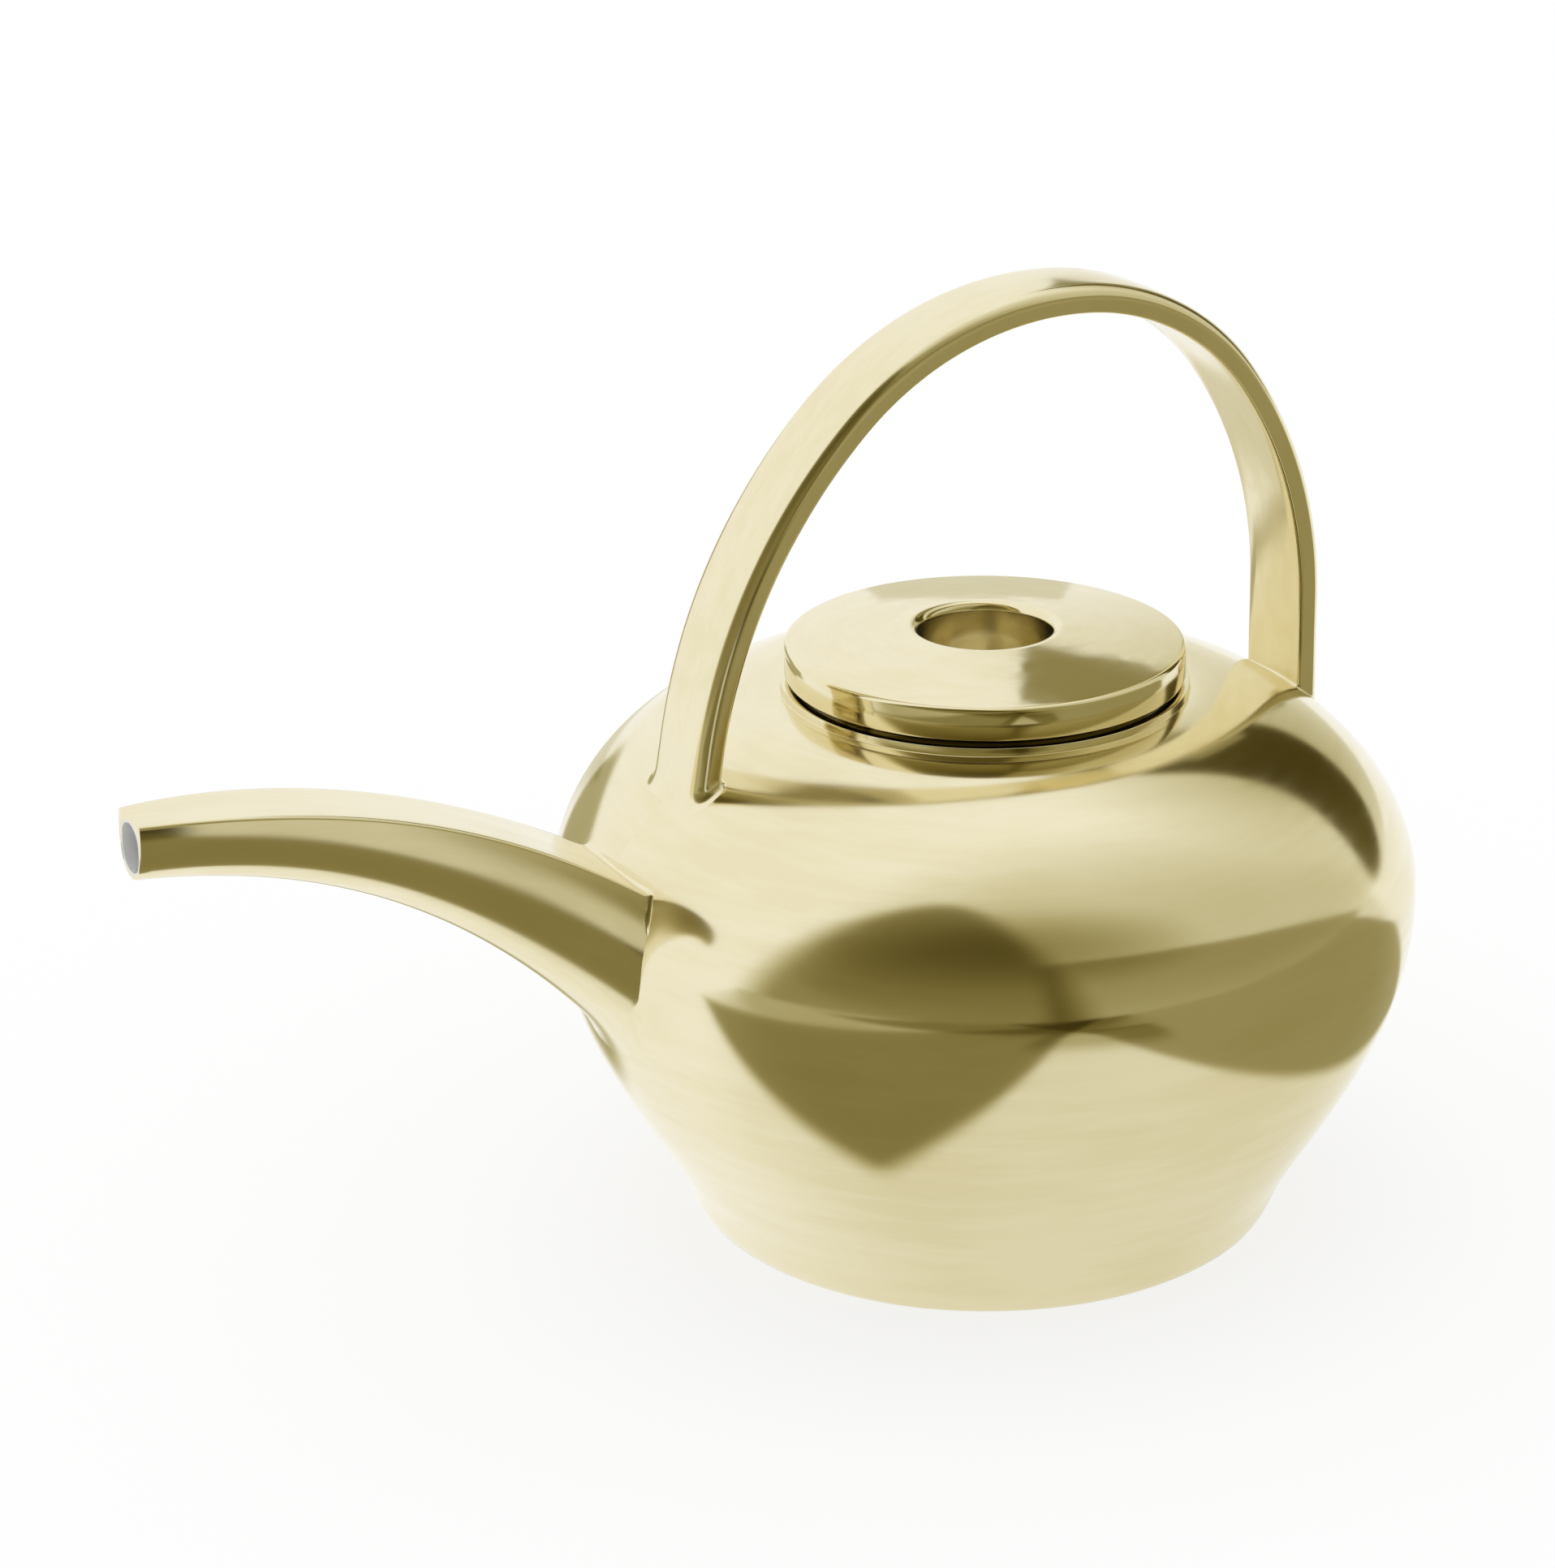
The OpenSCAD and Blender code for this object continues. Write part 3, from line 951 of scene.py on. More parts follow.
@dataclass
class Lid:
    """The flat lid with its finger well, and the collar below it. Sizes in millimetres."""

    body: Body
    side_h: float = 8.0
    gap_h: float = 0.9
    seat_w: float = 1.0
    seat_lean: float = 0.3
    rise: float = 3.0
    thick: float = 3.4
    inset: float = 1.7
    play: float = 0.6
    bevel: float = 0.8
    bevel_turn: tuple[float, float] = (0.25, 0.4)
    edge_r: float = 1.1
    edge_sweep: float = 82.0
    slope_steps: int = 35
    collar_h: float = 9.0
    collar_t: float = 3.0
    collar_sink: float = 2.0
    collar_round: float = 1.0
    well_r: float = 13.7
    well_depth: float = 17.0
    well_t: float = 2.6
    well_floor: float = 3.0
    well_round: float = 1.9
    well_toe: float = 2.0
    flats: tuple[float, float, float] = (8.0, 8.0, 6.0)
    foot_r: float = 1.5
    bulge: float = 0.25
    turns: int = 224
    wave: float = 7.0
    wave_depth: float = 0.05

    @property
    def r(self) -> float:
        """Radius of the lid."""
        return self.body.rim_r - self.inset

    @property
    def collar_r(self) -> float:
        """Radius of the collar."""
        return self.body.mouth_r - self.play

    def plate(self) -> Piece:
        """Turns the lid with its well in one piece; flats are extra points on its plain faces.

        Returns:
            The finished piece.
        """
        rest = self.body.rest_z
        edge_z, eave = rest + self.side_h, rest + self.gap_h
        top = edge_z + self.rise
        low = top - self.well_depth
        base = low - self.well_floor
        collar_r, out_r = self.collar_r, self.well_r + self.well_t
        seat_r = collar_r + self.seat_w
        base_in, wall_down, floor_in = self.flats
        turn_in, turn_up = (share * self.bevel for share in self.bevel_turn)
        edge = arc((self.r - self.edge_r, edge_z - self.edge_r), self.edge_r, 0,
                   self.edge_sweep, 8)
        lip_r = self.well_round
        lip = arc((self.well_r + lip_r, top - lip_r), lip_r, 90, 180, 8)
        foot = arc((out_r - self.foot_r, base + self.foot_r), self.foot_r, 270, 360, 5)
        floor = arc((self.well_r - self.well_toe, low + self.well_toe), self.well_toe, 0, -90, 6)
        reach = edge[-1] - lip[0]
        slope = [lip[0] + reach * (1 - s) + [0, self.bulge * 4 * s * (1 - s)]
                 for s in np.linspace(0, 1, self.slope_steps + 1)[1:-1]]
        outline = np.vstack([
            [(0, base), (base_in, base)], foot,
            [(out_r, top - self.thick), (collar_r, edge_z - self.thick), (collar_r, rest),
             (seat_r, rest), (seat_r + self.seat_lean, eave), (self.r - self.bevel, eave),
             (self.r - turn_in, eave + turn_up), (self.r, eave + self.bevel)],
            edge, slope, lip, [(self.well_r, top - wall_down)], floor, [(floor_in, low), (0, low)],
        ])
        return worked(turned("lid_plate", outline, self.turns), self.wave, self.wave_depth)

    def collar(self) -> Piece:
        """Turns the white collar that drops into the mouth.

        Returns:
            The finished piece.
        """
        r, toe_r = self.collar_r, self.collar_round
        low, top = self.body.rest_z - self.collar_h, self.body.rest_z + self.collar_sink
        toe = arc((r - toe_r, low + toe_r), toe_r, 270, 360, 5)
        heel = arc((r - self.collar_t + toe_r, low + toe_r), toe_r, 180, 270, 5)
        outline = np.vstack([heel, toe, [(r, top), (r - self.collar_t, top)], heel[:1]])
        return turned("lid_collar", outline, FINE_TURNS)


# ---------------------------------------------------------------- finishes


class Lay(Enum):
    """The axis that a piece's burnishing strokes run round: a place in millimetres, and a turn."""

    POT = ((0.0, 0.0, 0.0), 0.0)
    ARCH = ((18.0, 0.0, 150.0), 90.0)
    SPOUT = ((-158.0, 0.0, -30.0), 90.0)


class Nodes:
    """Adds and links nodes in one tree with few words."""

    def __init__(self, tree: Tree) -> None:
        """Keeps the tree."""
        self.tree = tree

    def add(self, kind: str, **settings: object) -> Node:
        """Adds a node and sets its properties.

        Args:
            kind: The node's type name, without its prefix.
            **settings: Properties of the node.

        Returns:
            The new node.
        """
        node = self.tree.nodes.new("ShaderNode" + kind)
        for name, value in settings.items():
            setattr(node, name, value)
        return node

    def link(self, source: Socket, target: Socket) -> None:
        """Links two sockets."""
        self.tree.links.new(source, target)

    def feed(self, node: Node, values: Sequence[object]) -> Socket:
        """Fills a node's inputs in order.

        Args:
            node: The node.
            values: Numbers, vectors or sockets.

        Returns:
            The node's first output that is in use.
        """
        for target, value in zip(node.inputs, values):
            if isinstance(value, Socket):
                self.link(value, target)
            else:
                target.default_value = value
        return next(out for out in node.outputs if out.enabled)

    def put(self, node: Node, **values: object) -> Node:
        """Fills a node's inputs by name.

        Args:
            node: The node.
            **values: Numbers, vectors or sockets.

        Returns:
            The same node.
        """
        for name, value in values.items():
            if isinstance(value, Socket):
                self.link(value, node.inputs[name])
            else:
                node.inputs[name].default_value = value
        return node

    def group(self, tree: Tree, **values: object) -> Node:
        """Places a node group and fills its inputs by name."""
        return self.put(self.add("Group", node_tree=tree), **values)

    def math(self, operation: str, *values: object) -> Socket:
        """Adds a Math node and gives its result."""
        return self.feed(self.add("Math", operation=operation), values)

    def times(self, first: object, *others: object) -> Socket:
        """Multiplies values, one after another.

        Args:
            first: The first number or socket.
            *others: The others.

        Returns:
            The product's socket.
        """
        for other in others:
            first = self.math("MULTIPLY", first, other)
        return first

    def vector(self, operation: str, *values: object) -> Socket:
        """Adds a Vector Math node and gives its result."""
        return self.feed(self.add("VectorMath", operation=operation), values)

    def ramp(self, value: object, low: float, high: float, start: float, end: float) -> Socket:
        """Eases a value from one range to another.

        Args:
            value: The value.
            low: Where the change starts.
            high: Where it ends.
            start: The result at low.
            end: The result at high.

        Returns:
            The result's socket.
        """
        node = self.add("MapRange", interpolation_type="SMOOTHSTEP")
        return self.feed(node, (value, low, high, start, end))

    def noise(self, vector: Socket, scale: float, detail: float, rough: float) -> Socket:
        """Adds a noise texture and gives its value."""
        node = self.add("TexNoise")
        return self.put(node, Vector=vector, Scale=scale, Detail=detail, Roughness=rough).outputs[0]

    def bump(self, strength: float, distance: float, height: Socket, **under: Socket) -> Socket:
        """Adds a bump.

        Args:
            strength: Its strength.
            distance: Its height in millimetres.
            height: The pattern.
            **under: Normal, where it lies on another bump.

        Returns:
            The normal's socket.
        """
        node = self.add("Bump")
        self.put(node, Strength=strength, Distance=distance * MM, Height=height, **under)
        return node.outputs[0]

    def blend(self, first: object, second: object, share: Socket) -> Socket:
        """Mixes two colours.

        Args:
            first: The colour at share 0, as three numbers or a socket.
            second: The colour at share 1, likewise.
            share: The share of the second.

        Returns:
            The mixed colour's socket.
        """
        a, b = (c if isinstance(c, Socket) else (*c, 1) for c in (first, second))
        node = self.put(self.add("Mix", data_type="RGBA"), A=a, B=b, Factor=share)
        return node.outputs["Result"]

    def either(self, share: Socket, *shaders: Socket) -> Socket:
        """Mixes two shaders, the second by its share."""
        return self.feed(self.add("MixShader"), (share, *shaders))

    def glow(self, *colour: Socket) -> Socket:
        """Adds an Emission shader of a colour, or white."""
        return self.feed(self.add("Emission"), colour)

    def show(self, shader: Socket) -> None:
        """Makes a shader the surface of the material."""
        self.link(shader, self.tree.nodes["Material Output"].inputs[0])


def started(name: str) -> tuple[Material, Nodes, Node]:
    """Starts a material.

    Args:
        name: The material's name.

    Returns:
        The material, its nodes and its shader.
    """
    material = bpy.data.materials.new(name)
    material.use_nodes = True
    return material, Nodes(material.node_tree), material.node_tree.nodes["Principled BSDF"]


def opened(
    name: str, inputs: dict[str, tuple[str, object]], outputs: dict[str, str]
) -> tuple[Nodes, bpy.types.NodeOutputs, bpy.types.NodeInputs]:
    """Starts a node group with its sockets.

    Args:
        name: The group's name.
        inputs: Kind and value of each input, by name.
        outputs: Kind of each output, by name.

    Returns:
        The group's nodes, the sockets that its inputs come from, and those of its results.
    """
    tree = bpy.data.node_groups.new(name, "ShaderNodeTree")
    for title, (kind, value) in inputs.items():
        socket = "NodeSocket" + kind
        item = tree.interface.new_socket(name=title, in_out="INPUT", socket_type=socket)
        if value is not None:
            item.default_value = value
    for title, kind in outputs.items():
        tree.interface.new_socket(name=title, in_out="OUTPUT", socket_type="NodeSocket" + kind)
    start, end = tree.nodes.new("NodeGroupInput"), tree.nodes.new("NodeGroupOutput")
    return Nodes(tree), start.outputs, end.inputs


def stroke_group() -> Tree:
    """Builds the burnishing strokes: fine lines round an axis, and a mask of their strength.

    Returns:
        A group that takes a vector whose Z is the axis, and gives Height and Mask.
    """
    inputs = {"Vector": ("Vector", None), "Density": ("Float", 1.0)}
    n, start, end = opened("Burnish strokes", inputs, {"Height": "Float", "Mask": "Float"})
    x, y, z = n.put(n.add("SeparateXYZ"), Vector=start["Vector"]).outputs
    radius = n.math("SQRT", n.math("ADD", n.times(x, x), n.times(y, y)))
    around = n.times(n.math("ARCTAN2", y, x), STROKE_LENGTH)
    place = n.put(n.add("CombineXYZ"), X=around, Y=n.times(z, start["Density"]),
                  Z=n.times(radius, start["Density"])).outputs[0]
    fine = n.noise(place, 1400.0, 3.0, 0.65)
    coarse = n.noise(place, 240.0, 4.0, 0.6)
    patch = n.noise(start["Vector"], 28.0, 2.0, 0.5)
    n.link(n.math("ADD", n.times(fine, 0.5), n.times(coarse, 0.5)), end["Height"])
    n.link(n.times(coarse, patch), end["Mask"])
    return n.tree


def wave_group() -> Tree:
    """Builds the hand-worked surface: slow waves that bend what the gold reflects.

    Returns:
        A group that takes a vector, and gives Height.
    """
    inputs = {"Vector": ("Vector", None), "Scale": ("Float", 1.0)}
    n, start, end = opened("Hand waves", inputs, {"Height": "Float"})
    scaled = n.add("VectorMath", operation="SCALE")
    n.put(scaled, Vector=start["Vector"], Scale=start["Scale"])
    slow = n.noise(scaled.outputs[0], 22.0, 1.0, 0.4)
    quick = n.noise(scaled.outputs[0], 90.0, 1.0, 0.4)
    n.link(n.math("ADD", slow, n.times(quick, 0.08)), end["Height"])
    return n.tree


def seat_shadow_group() -> Tree:
    """Builds the mask of the painted shadow in the lid's seat gap: a band of heights outside a
    radius.

    Returns:
        A group that takes a vector, Low, High and Radius, and gives Mask.
    """
    limits = {name: ("Float", 1.0) for name in ("Low", "High", "Radius")}
    inputs = {"Vector": ("Vector", None), **limits}
    # Painted shadow: this mask marks where the gold is coloured dark in the seat gap under the lid.
    n, start, end = opened("Painted seat shadow", inputs, {"Mask": "Float"})
    z = n.put(n.add("SeparateXYZ"), Vector=start["Vector"]).outputs["Z"]
    radius = n.vector("LENGTH", n.vector("MULTIPLY", start["Vector"], (1, 1, 0)))
    mask = n.times(n.math("GREATER_THAN", z, start["Low"]), n.math("LESS_THAN", z, start["High"]),
                   n.math("GREATER_THAN", radius, start["Radius"]))
    n.link(mask, end["Mask"])
    return n.tree


def warm_group() -> Tree:
    """Builds the room's tint: white where it is bright, and warmer the darker it gets.

    Returns:
        A group that takes Level, and gives Color.
    """
    n, start, end = opened("Warm dark", {"Level": ("Float", 1.0)}, {"Color": "Color"})
    red, green, blue = (n.math("POWER", start["Level"], power) for power in (0.90, 1.0, 1.62))
    tint = n.put(n.add("CombineColor"), Red=red, Green=green, Blue=blue)
    n.link(tint.outputs[0], end["Color"])
    return n.tree


@dataclass(frozen=True)
class Gold:
    """Burnished gold over glazed porcelain, with a painted shadow that can darken the lid's seat
    gap.
    """

    name: str
    lay: Lay = Lay.POT
    tint: tuple[float, float, float] = (0.865, 0.80, 0.575)
    deep: tuple[float, float, float] = (0.79, 0.70, 0.42)
    rough: float = 0.14
    rough_dip: float = 0.015
    stroke: float = 0.05
    density: float = 1.0
    stroke_h: float = 0.02
    wave: float = 0.25
    wave_h: float = 0.3
    wave_scale: float = 1.0
    smudge: float = 0.45
    smudge_span: tuple[float, float] = (0.12, 0.42)
    smudge_rough: float = 0.05
    # Painted shadow for the lid's seat gap: the band of heights and least radius where the gold is
    # coloured dark, and that dark colour.
    seat_shadow_band: tuple[float, float, float] = (1.0, 1.0, 1.0)
    seat_shadow_tint: tuple[float, float, float] = (0.11, 0.085, 0.03)
    well: float = 0.0
    well_rough: float = 0.30
    well_edge: float = 1.2

    def make(self, strokes: Tree, waves: Tree, seat_shadows: Tree) -> Material:
        """Builds the material.

        Args:
            strokes: The shared group of burnishing strokes.
            waves: The shared group of slow waves.
            seat_shadows: The shared mask of the painted shadow in the lid's seat gap.

        Returns:
            The material.
        """
        material, n, shader = started(self.name)
        place = n.add("TexCoord").outputs["Object"]
        spot, angle = self.lay.value
        laid = n.put(n.add("Mapping", vector_type="TEXTURE"), Vector=place,
                     Location=[v * MM for v in spot], Rotation=(math.radians(angle), 0, 0))
        stroke = n.group(strokes, Vector=laid.outputs[0], Density=self.density).outputs
        wave = n.group(waves, Vector=place, Scale=self.wave_scale).outputs
        slow = n.bump(self.wave, self.wave_h, wave["Height"])
        fine = n.bump(self.stroke, self.stroke_h, stroke["Height"], Normal=slow)
        smudge = n.ramp(stroke["Mask"], *self.smudge_span, 0.0, 1.0)
        gold = n.blend(self.tint, self.deep, n.times(smudge, self.smudge))
        # Painted shadow: inside the seat band the gold's base colour is mixed to the dark shadow
        # colour.
        low, high, radius = (v * MM for v in self.seat_shadow_band)
        seat = n.group(seat_shadows, Vector=place, Low=low, High=high, Radius=radius).outputs["Mask"]
        rough = n.math("ADD", n.times(smudge, self.smudge_rough), self.rough - self.rough_dip)
        if self.well:
            span = n.vector("LENGTH", n.vector("MULTIPLY", place, (1, 1, 0)))
            wall, past = self.well * MM, (self.well + self.well_edge) * MM
            inside = n.ramp(span, wall, past, self.well_rough, 0.0)
            rough = n.math("ADD", rough, inside)
        n.put(shader, Normal=fine, Roughness=rough, Metallic=1.0,
              **{"Base Color": n.blend(gold, self.seat_shadow_tint, seat)})
        return material


@dataclass(frozen=True)
class Glaze:
    """Clear glaze over white porcelain."""

    name: str = "White glaze"
    tint: tuple[float, float, float] = (0.80, 0.80, 0.79)
    shade: float = 0.96
    rough: float = 0.12
    wave: float = 0.2
    wave_h: float = 0.2
    coat: float = 0.6
    coat_rough: float = 0.05

    def make(self, waves: Tree) -> Material:
        """Builds the material.

        Args:
            waves: The shared group of slow waves.

        Returns:
            The material.
        """
        material, n, shader = started(self.name)
        place = n.add("TexCoord").outputs["Object"]
        wave = n.group(waves, Vector=place).outputs
        shade = [c * self.shade for c in self.tint]
        normal = n.bump(self.wave, self.wave_h, wave["Height"])
        n.put(shader, Normal=normal, Roughness=self.rough, **{
            "Base Color": n.blend(self.tint, shade, n.noise(place, 60.0, 3.0, 0.5)),
            "Coat Weight": self.coat, "Coat Roughness": self.coat_rough,
        })
        return material


# ---------------------------------------------------------------- the studio


@dataclass(frozen=True)
class Gap:
    """A soft dark oval in the bright room. Angles in degrees, turns from the front to the right."""

    turn: float
    lift: float
    half_wide: float
    half_tall: float
    tilt: float
    soft: float
    level: float

    def shade(self, n: Nodes, ray: Socket) -> Socket:
        """Adds the nodes that tell how bright the room is along a ray.

        Args:
            n: The world's nodes.
            ray: The direction looked along.

        Returns:
            1 outside the opening, and its level inside.
        """
        a, e, k = (math.radians(v) for v in (self.turn, self.lift, self.tilt))
        middle = np.array([math.sin(a) * math.cos(e), -math.cos(a) * math.cos(e), math.sin(e)])
        right = np.array([math.cos(a), math.sin(a), 0.0])
        up = np.array([-math.sin(a) * math.sin(e), math.cos(a) * math.sin(e), math.cos(e)])
        wide = right * math.cos(k) + up * math.sin(k)
        tall = up * math.cos(k) - right * math.sin(k)
        facing = n.math("MAXIMUM", n.vector("DOT_PRODUCT", ray, middle), 0.02)
        parts = []
        for axis, half in ((wide, self.half_wide), (tall, self.half_tall)):
            across = n.vector("DOT_PRODUCT", ray, axis / math.tan(math.radians(half)))
            parts.append(n.math("POWER", n.math("DIVIDE", across, facing), 2.0))
        reach = n.math("SQRT", n.math("ADD", *parts))
        return n.ramp(reach, 1 - self.soft, 1 + self.soft, self.level, 1.0)


@dataclass(frozen=True)
class Shade:
    """A shaded part of the floor. Each straight edge is two points and a softness, in metres."""

    level: float
    edges: tuple[tuple[float, float, float, float, float], ...]

    def shade(self, n: Nodes, place: Socket) -> Socket:
        """Adds the nodes that tell how bright the floor is at a place.

        Args:
            n: The floor's nodes.
            place: The place on the floor.

        Returns:
            1 outside the shaded part, and its level inside.
        """
        inside = 1.0
        for ax, ay, bx, by, soft in self.edges:
            way = np.array([bx - ax, by - ay])
            out = np.array([way[1], -way[0], 0]) / np.linalg.norm(way)
            past = n.vector("DOT_PRODUCT", n.vector("SUBTRACT", place, (ax, ay, 0)), out)
            inside = n.math("MULTIPLY", inside, n.ramp(past, -soft, soft, 1.0, 0.0))
        return n.math("SUBTRACT", 1.0, n.math("MULTIPLY", inside, 1 - self.level))


@dataclass(frozen=True)
class Card:
    """An upright card that glossy pieces see from its front. Places and soft edge in metres."""

    name: str
    start: tuple[float, float]
    end: tuple[float, float]
    low: float
    high: float
    soft: float
    level: float

    def stand(self, warm: Tree) -> None:
        """Stands the card in its place.

        Args:
            warm: The shared tint of dark places.
        """
        start, end = np.array([*self.start, self.low]), np.array([*self.end, self.low])
        width, tall = float(np.linalg.norm(end - start)), self.high - self.low
        way, up = (end - start) / width, np.array([0.0, 0.0, 1.0])
        bpy.ops.object.select_all(action="DESELECT")
        bpy.ops.mesh.primitive_plane_add(
            size=1.0, location=tuple((start + end) / 2 + up * tall / 2),
            rotation=(math.pi / 2, 0, math.atan2(way[1], way[0])),
        )
        card = bpy.context.object
        card.name = self.name
        card.scale = (width, tall, 1.0)
        bpy.ops.object.transform_apply(location=True, rotation=True, scale=True)
        material, n, shader = started(self.name)
        n.tree.nodes.remove(shader)
        place = n.vector("SUBTRACT", n.add("TexCoord").outputs["Object"], start)
        front = n.math("SUBTRACT", 1.0, n.add("NewGeometry").outputs["Backfacing"])
        mask = n.times(n.add("LightPath").outputs["Is Glossy Ray"], front)
        for axis, reach in ((way, width), (up, tall)):
            along = n.vector("DOT_PRODUCT", place, axis)
            mask = n.times(mask, n.ramp(along, 0.0, self.soft, 0.0, 1.0),
                           n.ramp(along, reach - self.soft, reach, 1.0, 0.0))
        clear = n.add("BsdfTransparent").outputs[0]
        n.show(n.either(mask, clear, n.glow(n.group(warm, Level=self.level).outputs[0])))
        card.data.materials.append(material)


@dataclass
class Studio:
    """Pale floor, a bright room with soft dark openings, and the camera."""

    eye: tuple[float, float, float] = (-0.40714, -0.70519, 0.40786)
    turn: tuple[float, float, float] = (75.4188, -0.0602, -29.0082)
    lens: float = 96.478
    shift: tuple[float, float] = (-0.08932, -0.32284)
    sensor: float = 36.0
    clip: tuple[float, float] = (0.05, 50.0)
    gaps: tuple[Gap, ...] = (
        Gap(-47.2, -15.0, 44.2, 80.0, -1.3, 0.24, 0.27),
        Gap(-21.7, 42.4, 34.9, 15.6, -1.3, 0.90, 0.45),
        Gap(12.0, 39.9, 79.5, 38.3, -6.7, 0.90, 0.61),
        Gap(119.0, 23.4, 28.9, 18.4, -73.2, 0.90, 0.48),
        Gap(115.4, 24.0, 30.8, 11.2, 47.8, 0.10, 0.10),
        Gap(-175.0, 0.0, 11.0, 5.5, 0.0, 0.20, 0.42),
    )
    low_way: tuple[float, float, float] = (0.0733, 0.541, 0.838)
    low_side: tuple[float, float, float] = (0.978, -0.208, 0.0)
    low_level: float = 0.454
    low_soft: float = 0.012
    side_soft: float = 0.10
    floor_size: float = 8.0
    floor_glow: float = 0.75
    cards: tuple[Card, ...] = (
        Card("pale_card", (-0.0660, -0.100), (-0.161, -0.253), 0.020, 0.138, 0.036, 0.66),
        Card("back_card", (0.125, 0.310), (0.195, 0.270), 0.106, 0.174, 0.003, 0.72),
        Card("side_card", (0.156, 0.233), (0.276, 0.143), 0.265, 0.372, 0.006, 0.26),
    )
    shades: tuple[Shade, ...] = (
        Shade(0.28, ((-0.07, -0.06, -0.28, 0.02, 0.006), (-0.07, -0.4, -0.07, -0.06, 0.006),
                     (-0.30, 0.1, -0.30, -0.1, 0.04))),
        Shade(0.55, ((-0.30, 0.0, -1.30, 0.06, 0.06), (-0.30, -0.1, -0.30, 0.1, 0.04))),
        Shade(0.38, ((0.6, -0.08, 0.13, 0.01, 0.006), (0.13, 0.01, -0.05, -0.36, 0.006))),
        Shade(0.80, ((3.0, -0.03, -3.0, -0.03, 0.04),)),
        Shade(0.55, ((0.05, -0.25, -0.10, -0.25, 0.03), (-0.10, -0.25, -0.10, -0.5, 0.01),
                     (0.05, -0.5, 0.05, -0.25, 0.01), (-0.10, -0.40, 0.05, -0.40, 0.02))),
        Shade(0.42, ((-0.35, 1.0, -0.10, 0.06, 0.012), (-0.10, 0.06, -0.074, 0.06, 0.012),
                     (-0.074, 0.06, 0.03, 1.0, 0.012))),
        Shade(0.72, ((0.0, 0.5, 0.0, 0.12, 0.03), (0.0, 0.13, 0.10, 0.13, 0.03),
                     (0.10, 0.12, 0.10, 0.5, 0.03))),
        Shade(0.40, ((0.10, -0.36, -0.90, -0.36, 0.05), (-0.9, -0.3, -1.6, -1.2, 0.2),
                     (0.1, -1.2, 0.0, -0.3, 0.1))),
    )

    def camera(self) -> None:
        """Sets up the camera."""
        data = bpy.data.cameras.new("camera")
        data.lens = self.lens
        data.sensor_width = self.sensor
        data.shift_x, data.shift_y = self.shift
        data.clip_start, data.clip_end = self.clip
        eye = bpy.data.objects.new("camera", data)
        eye.location = self.eye
        eye.rotation_euler = [math.radians(a) for a in self.turn]
        bpy.context.scene.collection.objects.link(eye)
        bpy.context.scene.camera = eye

    def surroundings(self, warm: Tree) -> None:
        """Lights the object from a bright room that glossy pieces see with its dark openings.

        Args:
            warm: The shared tint of dark places.
        """
        world = bpy.data.worlds.new("studio")
        bpy.context.scene.world = world
        world.use_nodes = True
        n = Nodes(world.node_tree)
        ray = n.add("TexCoord").outputs["Generated"]
        rise = n.vector("DOT_PRODUCT", ray, self.low_way)
        high = n.ramp(rise, -self.low_soft, self.low_soft, self.low_level, 1.0)
        aside = n.vector("DOT_PRODUCT", ray, self.low_side)
        left = n.ramp(aside, -self.side_soft, self.side_soft, 1.0, 0.0)
        level = n.times(n.math("MAXIMUM", high, left), *(gap.shade(n, ray) for gap in self.gaps))
        dark = n.group(warm, Level=level).outputs[0]
        room = n.blend((1, 1, 1), dark, n.add("LightPath").outputs["Is Glossy Ray"])
        n.link(room, world.node_tree.nodes["Background"].inputs[0])

    def floor(self, warm: Tree) -> None:
        """Lays the pale floor, which glossy pieces see with the soft shade in front of the object.

        Args:
            warm: The shared tint of dark places.
        """
        bpy.ops.object.select_all(action="DESELECT")
        bpy.ops.mesh.primitive_plane_add(size=self.floor_size)
        floor = bpy.context.object
        floor.name = "floor"
        material, n, shader = started("Pale floor")
        n.put(shader, Roughness=1.0, **{"Base Color": (1, 1, 1, 1), "Specular IOR Level": 0.0})
        place = n.add("TexCoord").outputs["Object"]
        level = n.times(*(part.shade(n, place) for part in self.shades))
        rays = n.add("LightPath").outputs
        lit = n.times(rays["Is Camera Ray"], self.floor_glow)
        pale = n.either(lit, shader.outputs[0], n.glow())
        seen = n.glow(n.group(warm, Level=level).outputs[0])
        n.show(n.either(rays["Is Glossy Ray"], pale, seen))
        floor.data.materials.append(material)


def dress(piece: Piece, material: Material, body: str, nodes: Sequence[str]) -> None:
    """Gives a piece its finish and its place in the frame.

    Args:
        piece: The finished piece.
        material: Its material.
        body: The CAD body that it rides on.
        nodes: The CAD nodes that it stands for.
    """
    piece.data.materials.clear()
    piece.data.materials.append(material)
    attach(piece, body)
    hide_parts(*nodes)
    LOG.info("%s: %d faces, rides on %s", piece.name, len(piece.data.polygons), body)


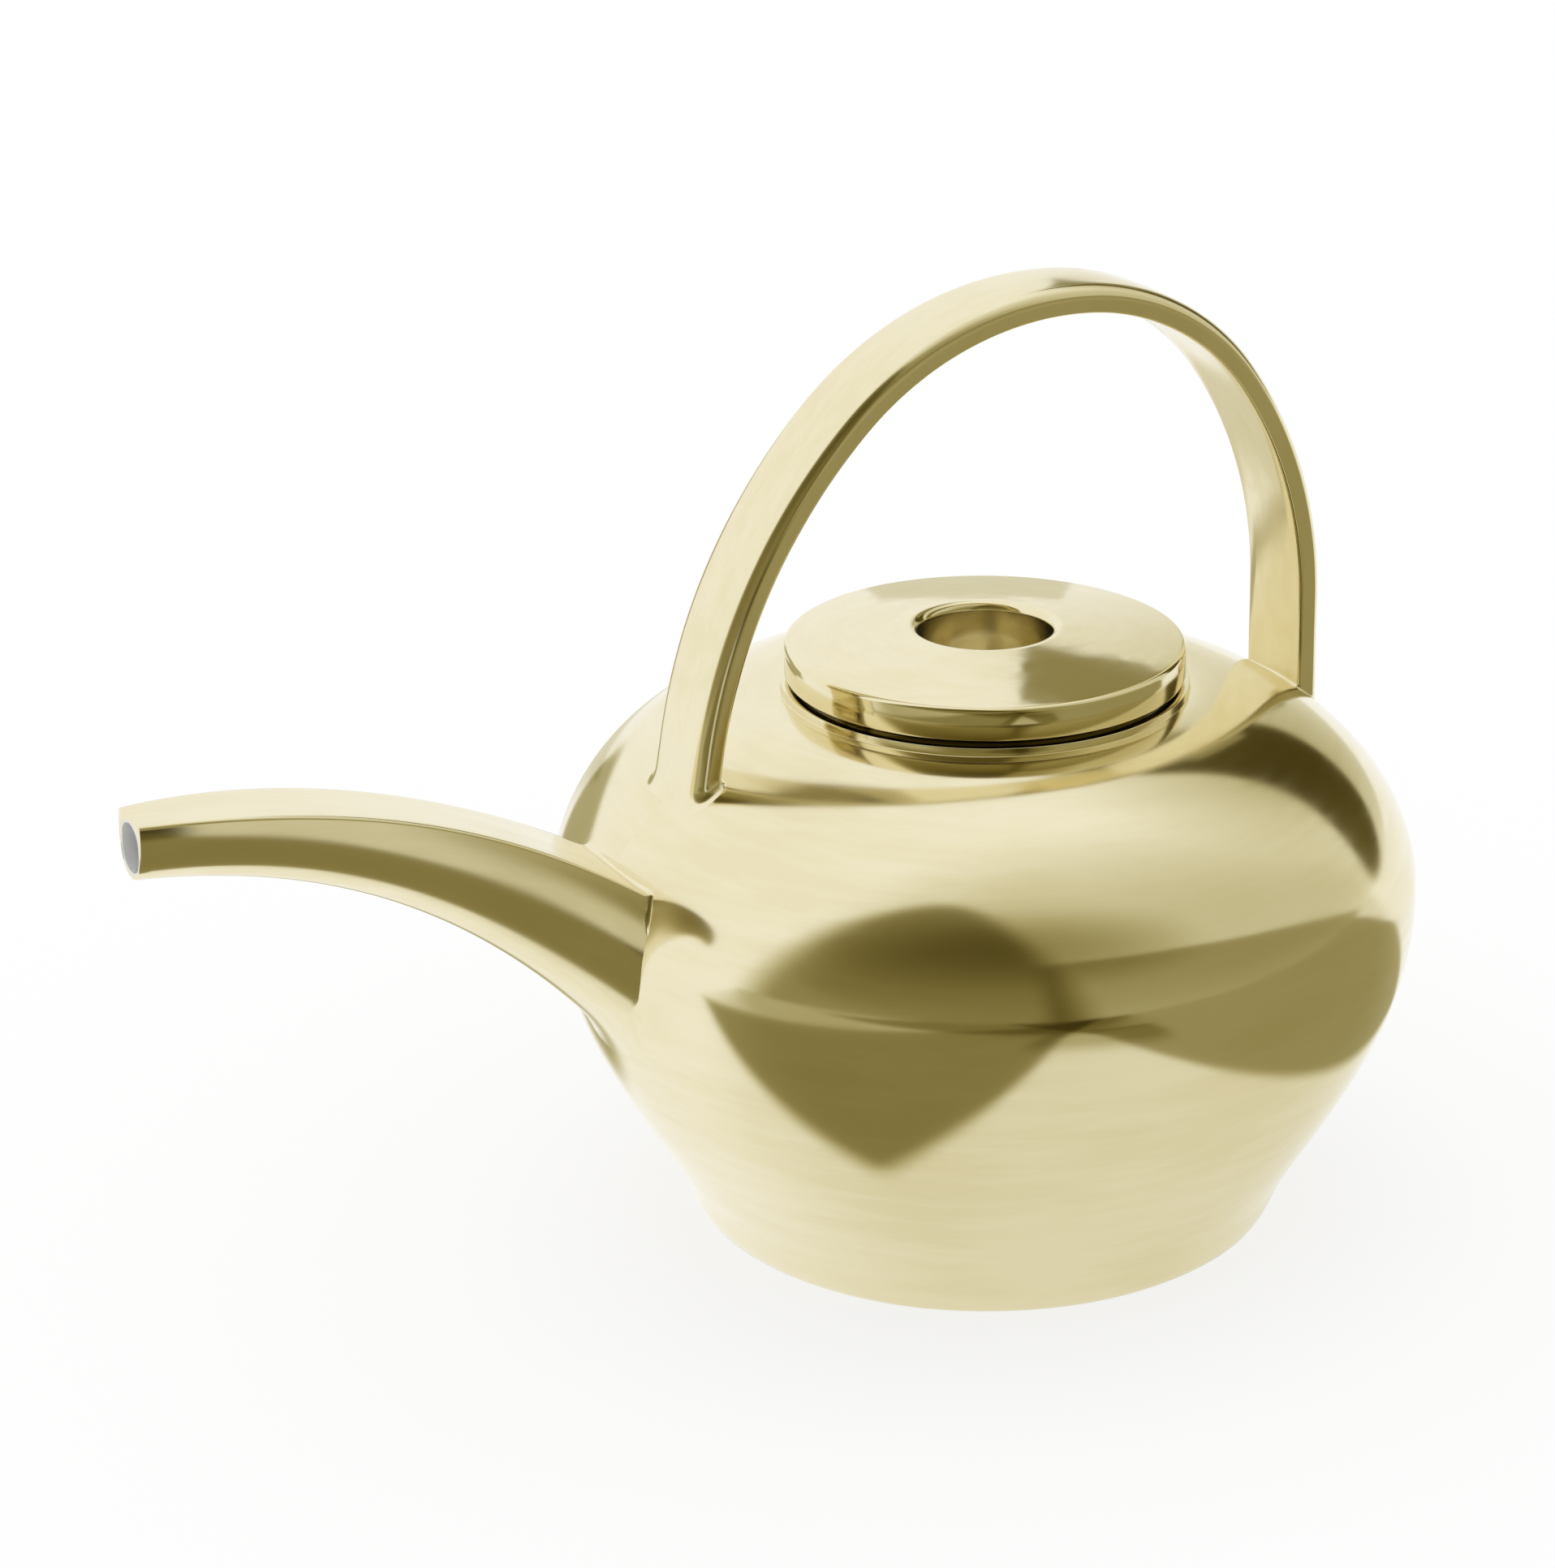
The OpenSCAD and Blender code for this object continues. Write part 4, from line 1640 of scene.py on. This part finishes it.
def main() -> None:
    """Builds the pieces in order, then the studio."""
    logging.basicConfig(level=logging.INFO, format="%(name)s %(message)s")
    scene = bpy.context.scene
    scene.view_settings.view_transform = "Standard"
    waves, warm = wave_group(), warm_group()
    shared = (stroke_group(), waves, seat_shadow_group())
    body = Body()
    spout, arch, lid = Spout(body), Arch(body), Lid(body)
    # The lid's seat gap, from just below the rest height to just above the eave and outside a given
    # radius, gets a painted shadow in the lid's gold.
    rest, margin, seat_in = body.rest_z, 0.04, 30.0
    seat = (rest - margin, rest + lid.gap_h + margin, seat_in)
    gold_body = Gold("Gold body", rough=0.11).make(*shared)
    gold_spout = Gold("Gold spout", Lay.SPOUT).make(*shared)
    gold_handle = Gold("Gold handle", Lay.ARCH).make(*shared)
    gold_lid = Gold("Gold lid", rough=0.08, seat_shadow_band=seat, well=12.9).make(*shared)
    white = Glaze().make(waves)
    dress(body.shell(), gold_body, "pot", ["foot_ring", "lower_bowl", "shoulder"])
    dress(body.mouth_ring(), gold_body, "pot", ["mouth_ring"])
    dress(body.lining(), white, "pot", ["glaze_lining"])
    dress(body.strainer(), white, "pot", ["strainer"])
    dress(spout.shell(), gold_spout, "pot", ["spout"])
    dress(spout.lining(), white, "pot", ["spout_lining"])
    dress(arch.build(), gold_handle, "pot", ["handle"])
    dress(lid.plate(), gold_lid, "lid", ["lid_cap", "lid_well"])
    dress(lid.collar(), white, "lid", ["lid_skirt"])
    studio = Studio()
    studio.camera()
    studio.surroundings(warm)
    studio.floor(warm)
    for card in studio.cards:
        card.stand(warm)


if __name__ == "__main__":
    main()
